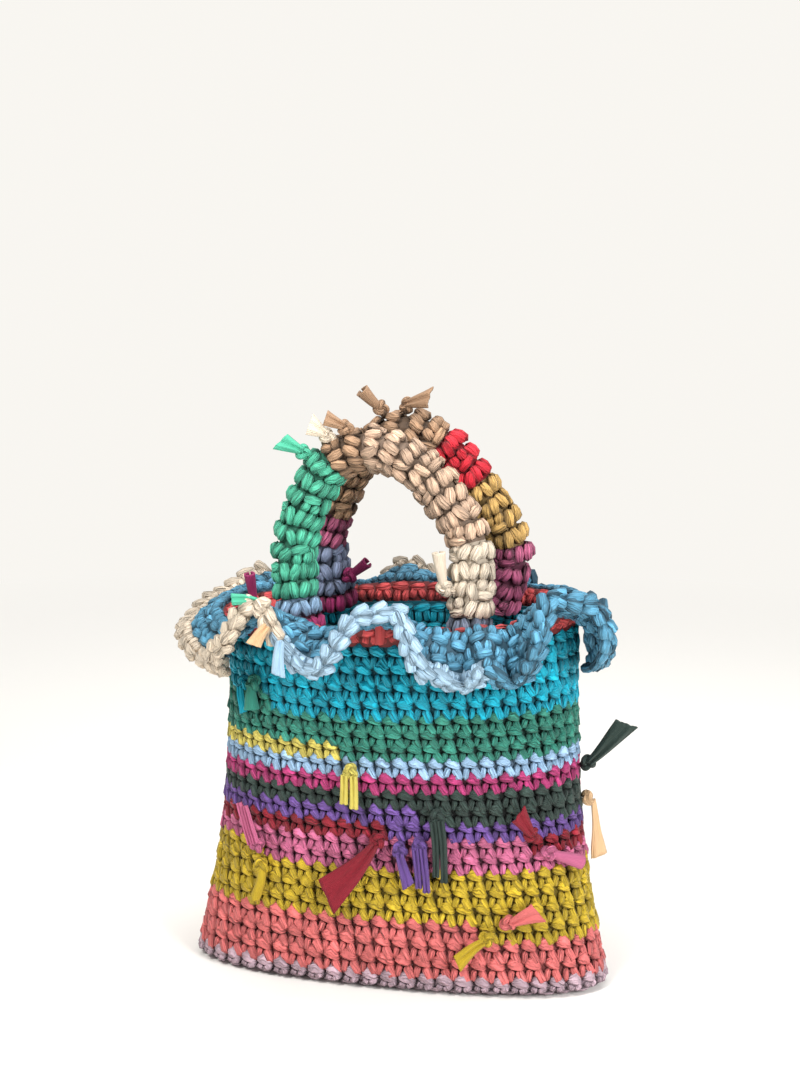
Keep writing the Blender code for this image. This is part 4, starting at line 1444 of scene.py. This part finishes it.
# Small tails left at the joins of the frill: the piece they come out of, their place on the
# frill as shares round and across it, places measured from there as x, y and height, the way
# the flat side faces, then the width at the free end and how far the strip is cupped
TAILS = (
    ("magenta", "frill_petrol", 0.204, 0.20, ((0, -3, 0), (-1, -4, 9), (-2, -6, 19)), (0.2, -1, 0.5), 8, 7),
    ("mint", "frill_edge_cream", 0.388, 0.90, ((3, 3, 0), (-5, 1, 2), (-14, -1, 2)), (0.1, -1, 0.4), 8, 3),
    ("apricot", "frill_edge_cream", 0.408, 0.95, ((2, -5, -4), (-1, -8, -8), (-5, -10, -15)), (0.3, -1, 0.3), 10, 5),
    ("light_blue", "frill_edge_light_blue", 0.423, 0.95, ((2, -4, 4), (2, -8, -5), (2, -8, -16)), (0.3, -1, 0.2), 9, 4),
    ("frill_coral", "frill_coral", 0.500, 0.05, ((2, -3, -1), (3, -6, 8), (3, -8, 19)), (0.2, -1, 0.3), 8, 7),
)


def make_tails():
    for number, (slot, carrier, share, across, offsets, face, width, cup) in enumerate(TAILS):
        start = frill_place(share, across)
        path = smooth_path([start + Vector(offset) for offset in offsets], CURVE_STEPS)
        facing = [Vector(face).normalized()] * 2
        skin = Skin()
        flat_width, length, area = add_strip(skin, path, facing, 0.0, width, cup, number + 51)
        mesh = skin.mesh(f"tail_{slot}", tone=0.5)
        mesh.materials.append(yarn_of(slot, "strip"))
        tail = finish_piece(f"tail_{slot}", mesh, slot)


def set_camera():
    """The camera where the photograph was taken from."""
    turn, rise, roll = (math.radians(value) for value in (CAMERA_TURN, CAMERA_RISE, CAMERA_ROLL))
    back = Vector((math.sin(turn) * math.cos(rise), -math.cos(turn) * math.cos(rise), math.sin(rise)))
    level = Vector((math.cos(turn), math.sin(turn), 0))
    upright = level.cross(-back)
    right = level * math.cos(roll) + upright * math.sin(roll)
    up = upright * math.cos(roll) - level * math.sin(roll)
    target = level * TARGET_RIGHT + Vector((0, 0, TARGET_HEIGHT))
    placed = Matrix((right, up, back)).transposed().to_4x4()
    placed.translation = target + back * CAMERA_DISTANCE
    lens = bpy.data.cameras.new("camera")
    lens.sensor_width = SENSOR
    lens.lens = FOCAL_PX / PHOTO_HEIGHT_PX * SENSOR
    camera = bpy.data.objects.new("camera", lens)
    camera.matrix_world = placed
    bpy.context.scene.collection.objects.link(camera)
    bpy.context.scene.camera = camera


def stage_material():
    """A pale matt surface that keeps the bag's shadow, and is one plain pale colour to the
    camera further out, so that floor and backdrop run into each other."""
    material = bpy.data.materials.new("pale_sweep")
    material.use_nodes = True
    tree = material.node_tree
    shader = tree.nodes["Principled BSDF"]
    pale = (*[linear(value) for value in STAGE_COLOUR], 1)
    shader.inputs["Base Color"].default_value = pale
    shader.inputs["Roughness"].default_value = 0.95
    place = make_node(tree, "ShaderNodeTexCoord", {}, {}, 3)
    distance = make_node(tree, "ShaderNodeVectorMath", {"operation": "LENGTH"}, {0: place}, 1)
    beyond = ((distance - SHADOW_REACH) * (1 / SHADOW_FADE)).held()
    camera_ray = make_node(tree, "ShaderNodeLightPath", {}, {})
    glow = make_node(tree, "ShaderNodeEmission", {}, {"Color": pale, "Strength": 1.0})
    both = make_node(
        tree, "ShaderNodeMixShader", {},
        {0: beyond * camera_ray, 1: Wire(tree, shader.outputs[0]), 2: glow},
    )
    tree.links.new(both.socket, tree.nodes["Material Output"].inputs["Surface"])
    return material


STAGE_COLOUR = (0.975, 0.965, 0.945)
SHADOW_REACH = 0.45
SHADOW_FADE = 0.9
SWEEP_HALF_WIDTH = 5.0
SWEEP_FRONT = -5.0
SWEEP_BACK = 1.6
SWEEP_RADIUS = 1.2
SWEEP_TOP = 5.0
SWEEP_STEPS = 16


def set_stage():
    """A pale floor that sweeps up into a backdrop."""
    profile = [(SWEEP_FRONT, 0.0)]
    for step in range(SWEEP_STEPS + 1):
        turn = math.pi / 2 * step / SWEEP_STEPS
        profile.append((SWEEP_BACK + SWEEP_RADIUS * math.sin(turn), SWEEP_RADIUS * (1 - math.cos(turn))))
    profile.append((SWEEP_BACK + SWEEP_RADIUS, SWEEP_TOP))
    corners = [(side * SWEEP_HALF_WIDTH, y, z) for y, z in profile for side in (-1, 1)]
    faces = [(2 * row, 2 * row + 1, 2 * row + 3, 2 * row + 2) for row in range(len(profile) - 1)]
    mesh = bpy.data.meshes.new("sweep")
    mesh.from_pydata(corners, [], faces)
    mesh.polygons.foreach_set("use_smooth", [True] * len(faces))
    mesh.materials.append(stage_material())
    sweep = bpy.data.objects.new("sweep", mesh)
    bpy.context.scene.collection.objects.link(sweep)


def set_lights():
    """Plain soft studio light: a big lamp each side, one above, and a pale sky."""
    for name, place, size, power, colour in (
        ("key", (-0.5, -1.2, 1.6), 0.55, 25.0, (1.0, 0.98, 0.95)),
        ("fill", (1.3, -1.1, 0.9), 0.8, 27.0, (0.98, 0.99, 1.0)),
        ("above", (0.1, 0.1, 1.7), 1.2, 19.0, (1.0, 1.0, 1.0)),
    ):
        lamp = bpy.data.lights.new(name, "AREA")
        lamp.shape = "DISK"
        lamp.size = size
        lamp.energy = power
        lamp.color = colour
        thing = bpy.data.objects.new(name, lamp)
        thing.location = place
        aim = Vector((0, 0, 0.2)) - Vector(place)
        thing.rotation_euler = aim.to_track_quat("-Z", "Y").to_euler()
        bpy.context.scene.collection.objects.link(thing)
    world = bpy.data.worlds.new("pale_sky")
    world.use_nodes = True
    sky = world.node_tree.nodes["Background"]
    sky.inputs["Color"].default_value = (0.95, 0.97, 1.0, 1)
    sky.inputs["Strength"].default_value = 0.32
    bpy.context.scene.world = world


def main():
    set_camera()
    make_wall()
    make_frill()
    make_handle("front", FRONT_HANDLE_FEET, FRONT_HANDLE_LINE, FRONT_HANDLE_YARNS, 61)
    make_handle("back", BACK_HANDLE_FEET, BACK_HANDLE_LINE, BACK_HANDLE_YARNS, 71)
    make_ends()
    make_tails()
    for shape in list(SHAPES.objects):
        bpy.data.objects.remove(shape, do_unlink=True)
    bpy.data.collections.remove(SHAPES)
    set_stage()
    set_lights()
    bpy.context.scene.view_settings.view_transform = "Standard"


main()
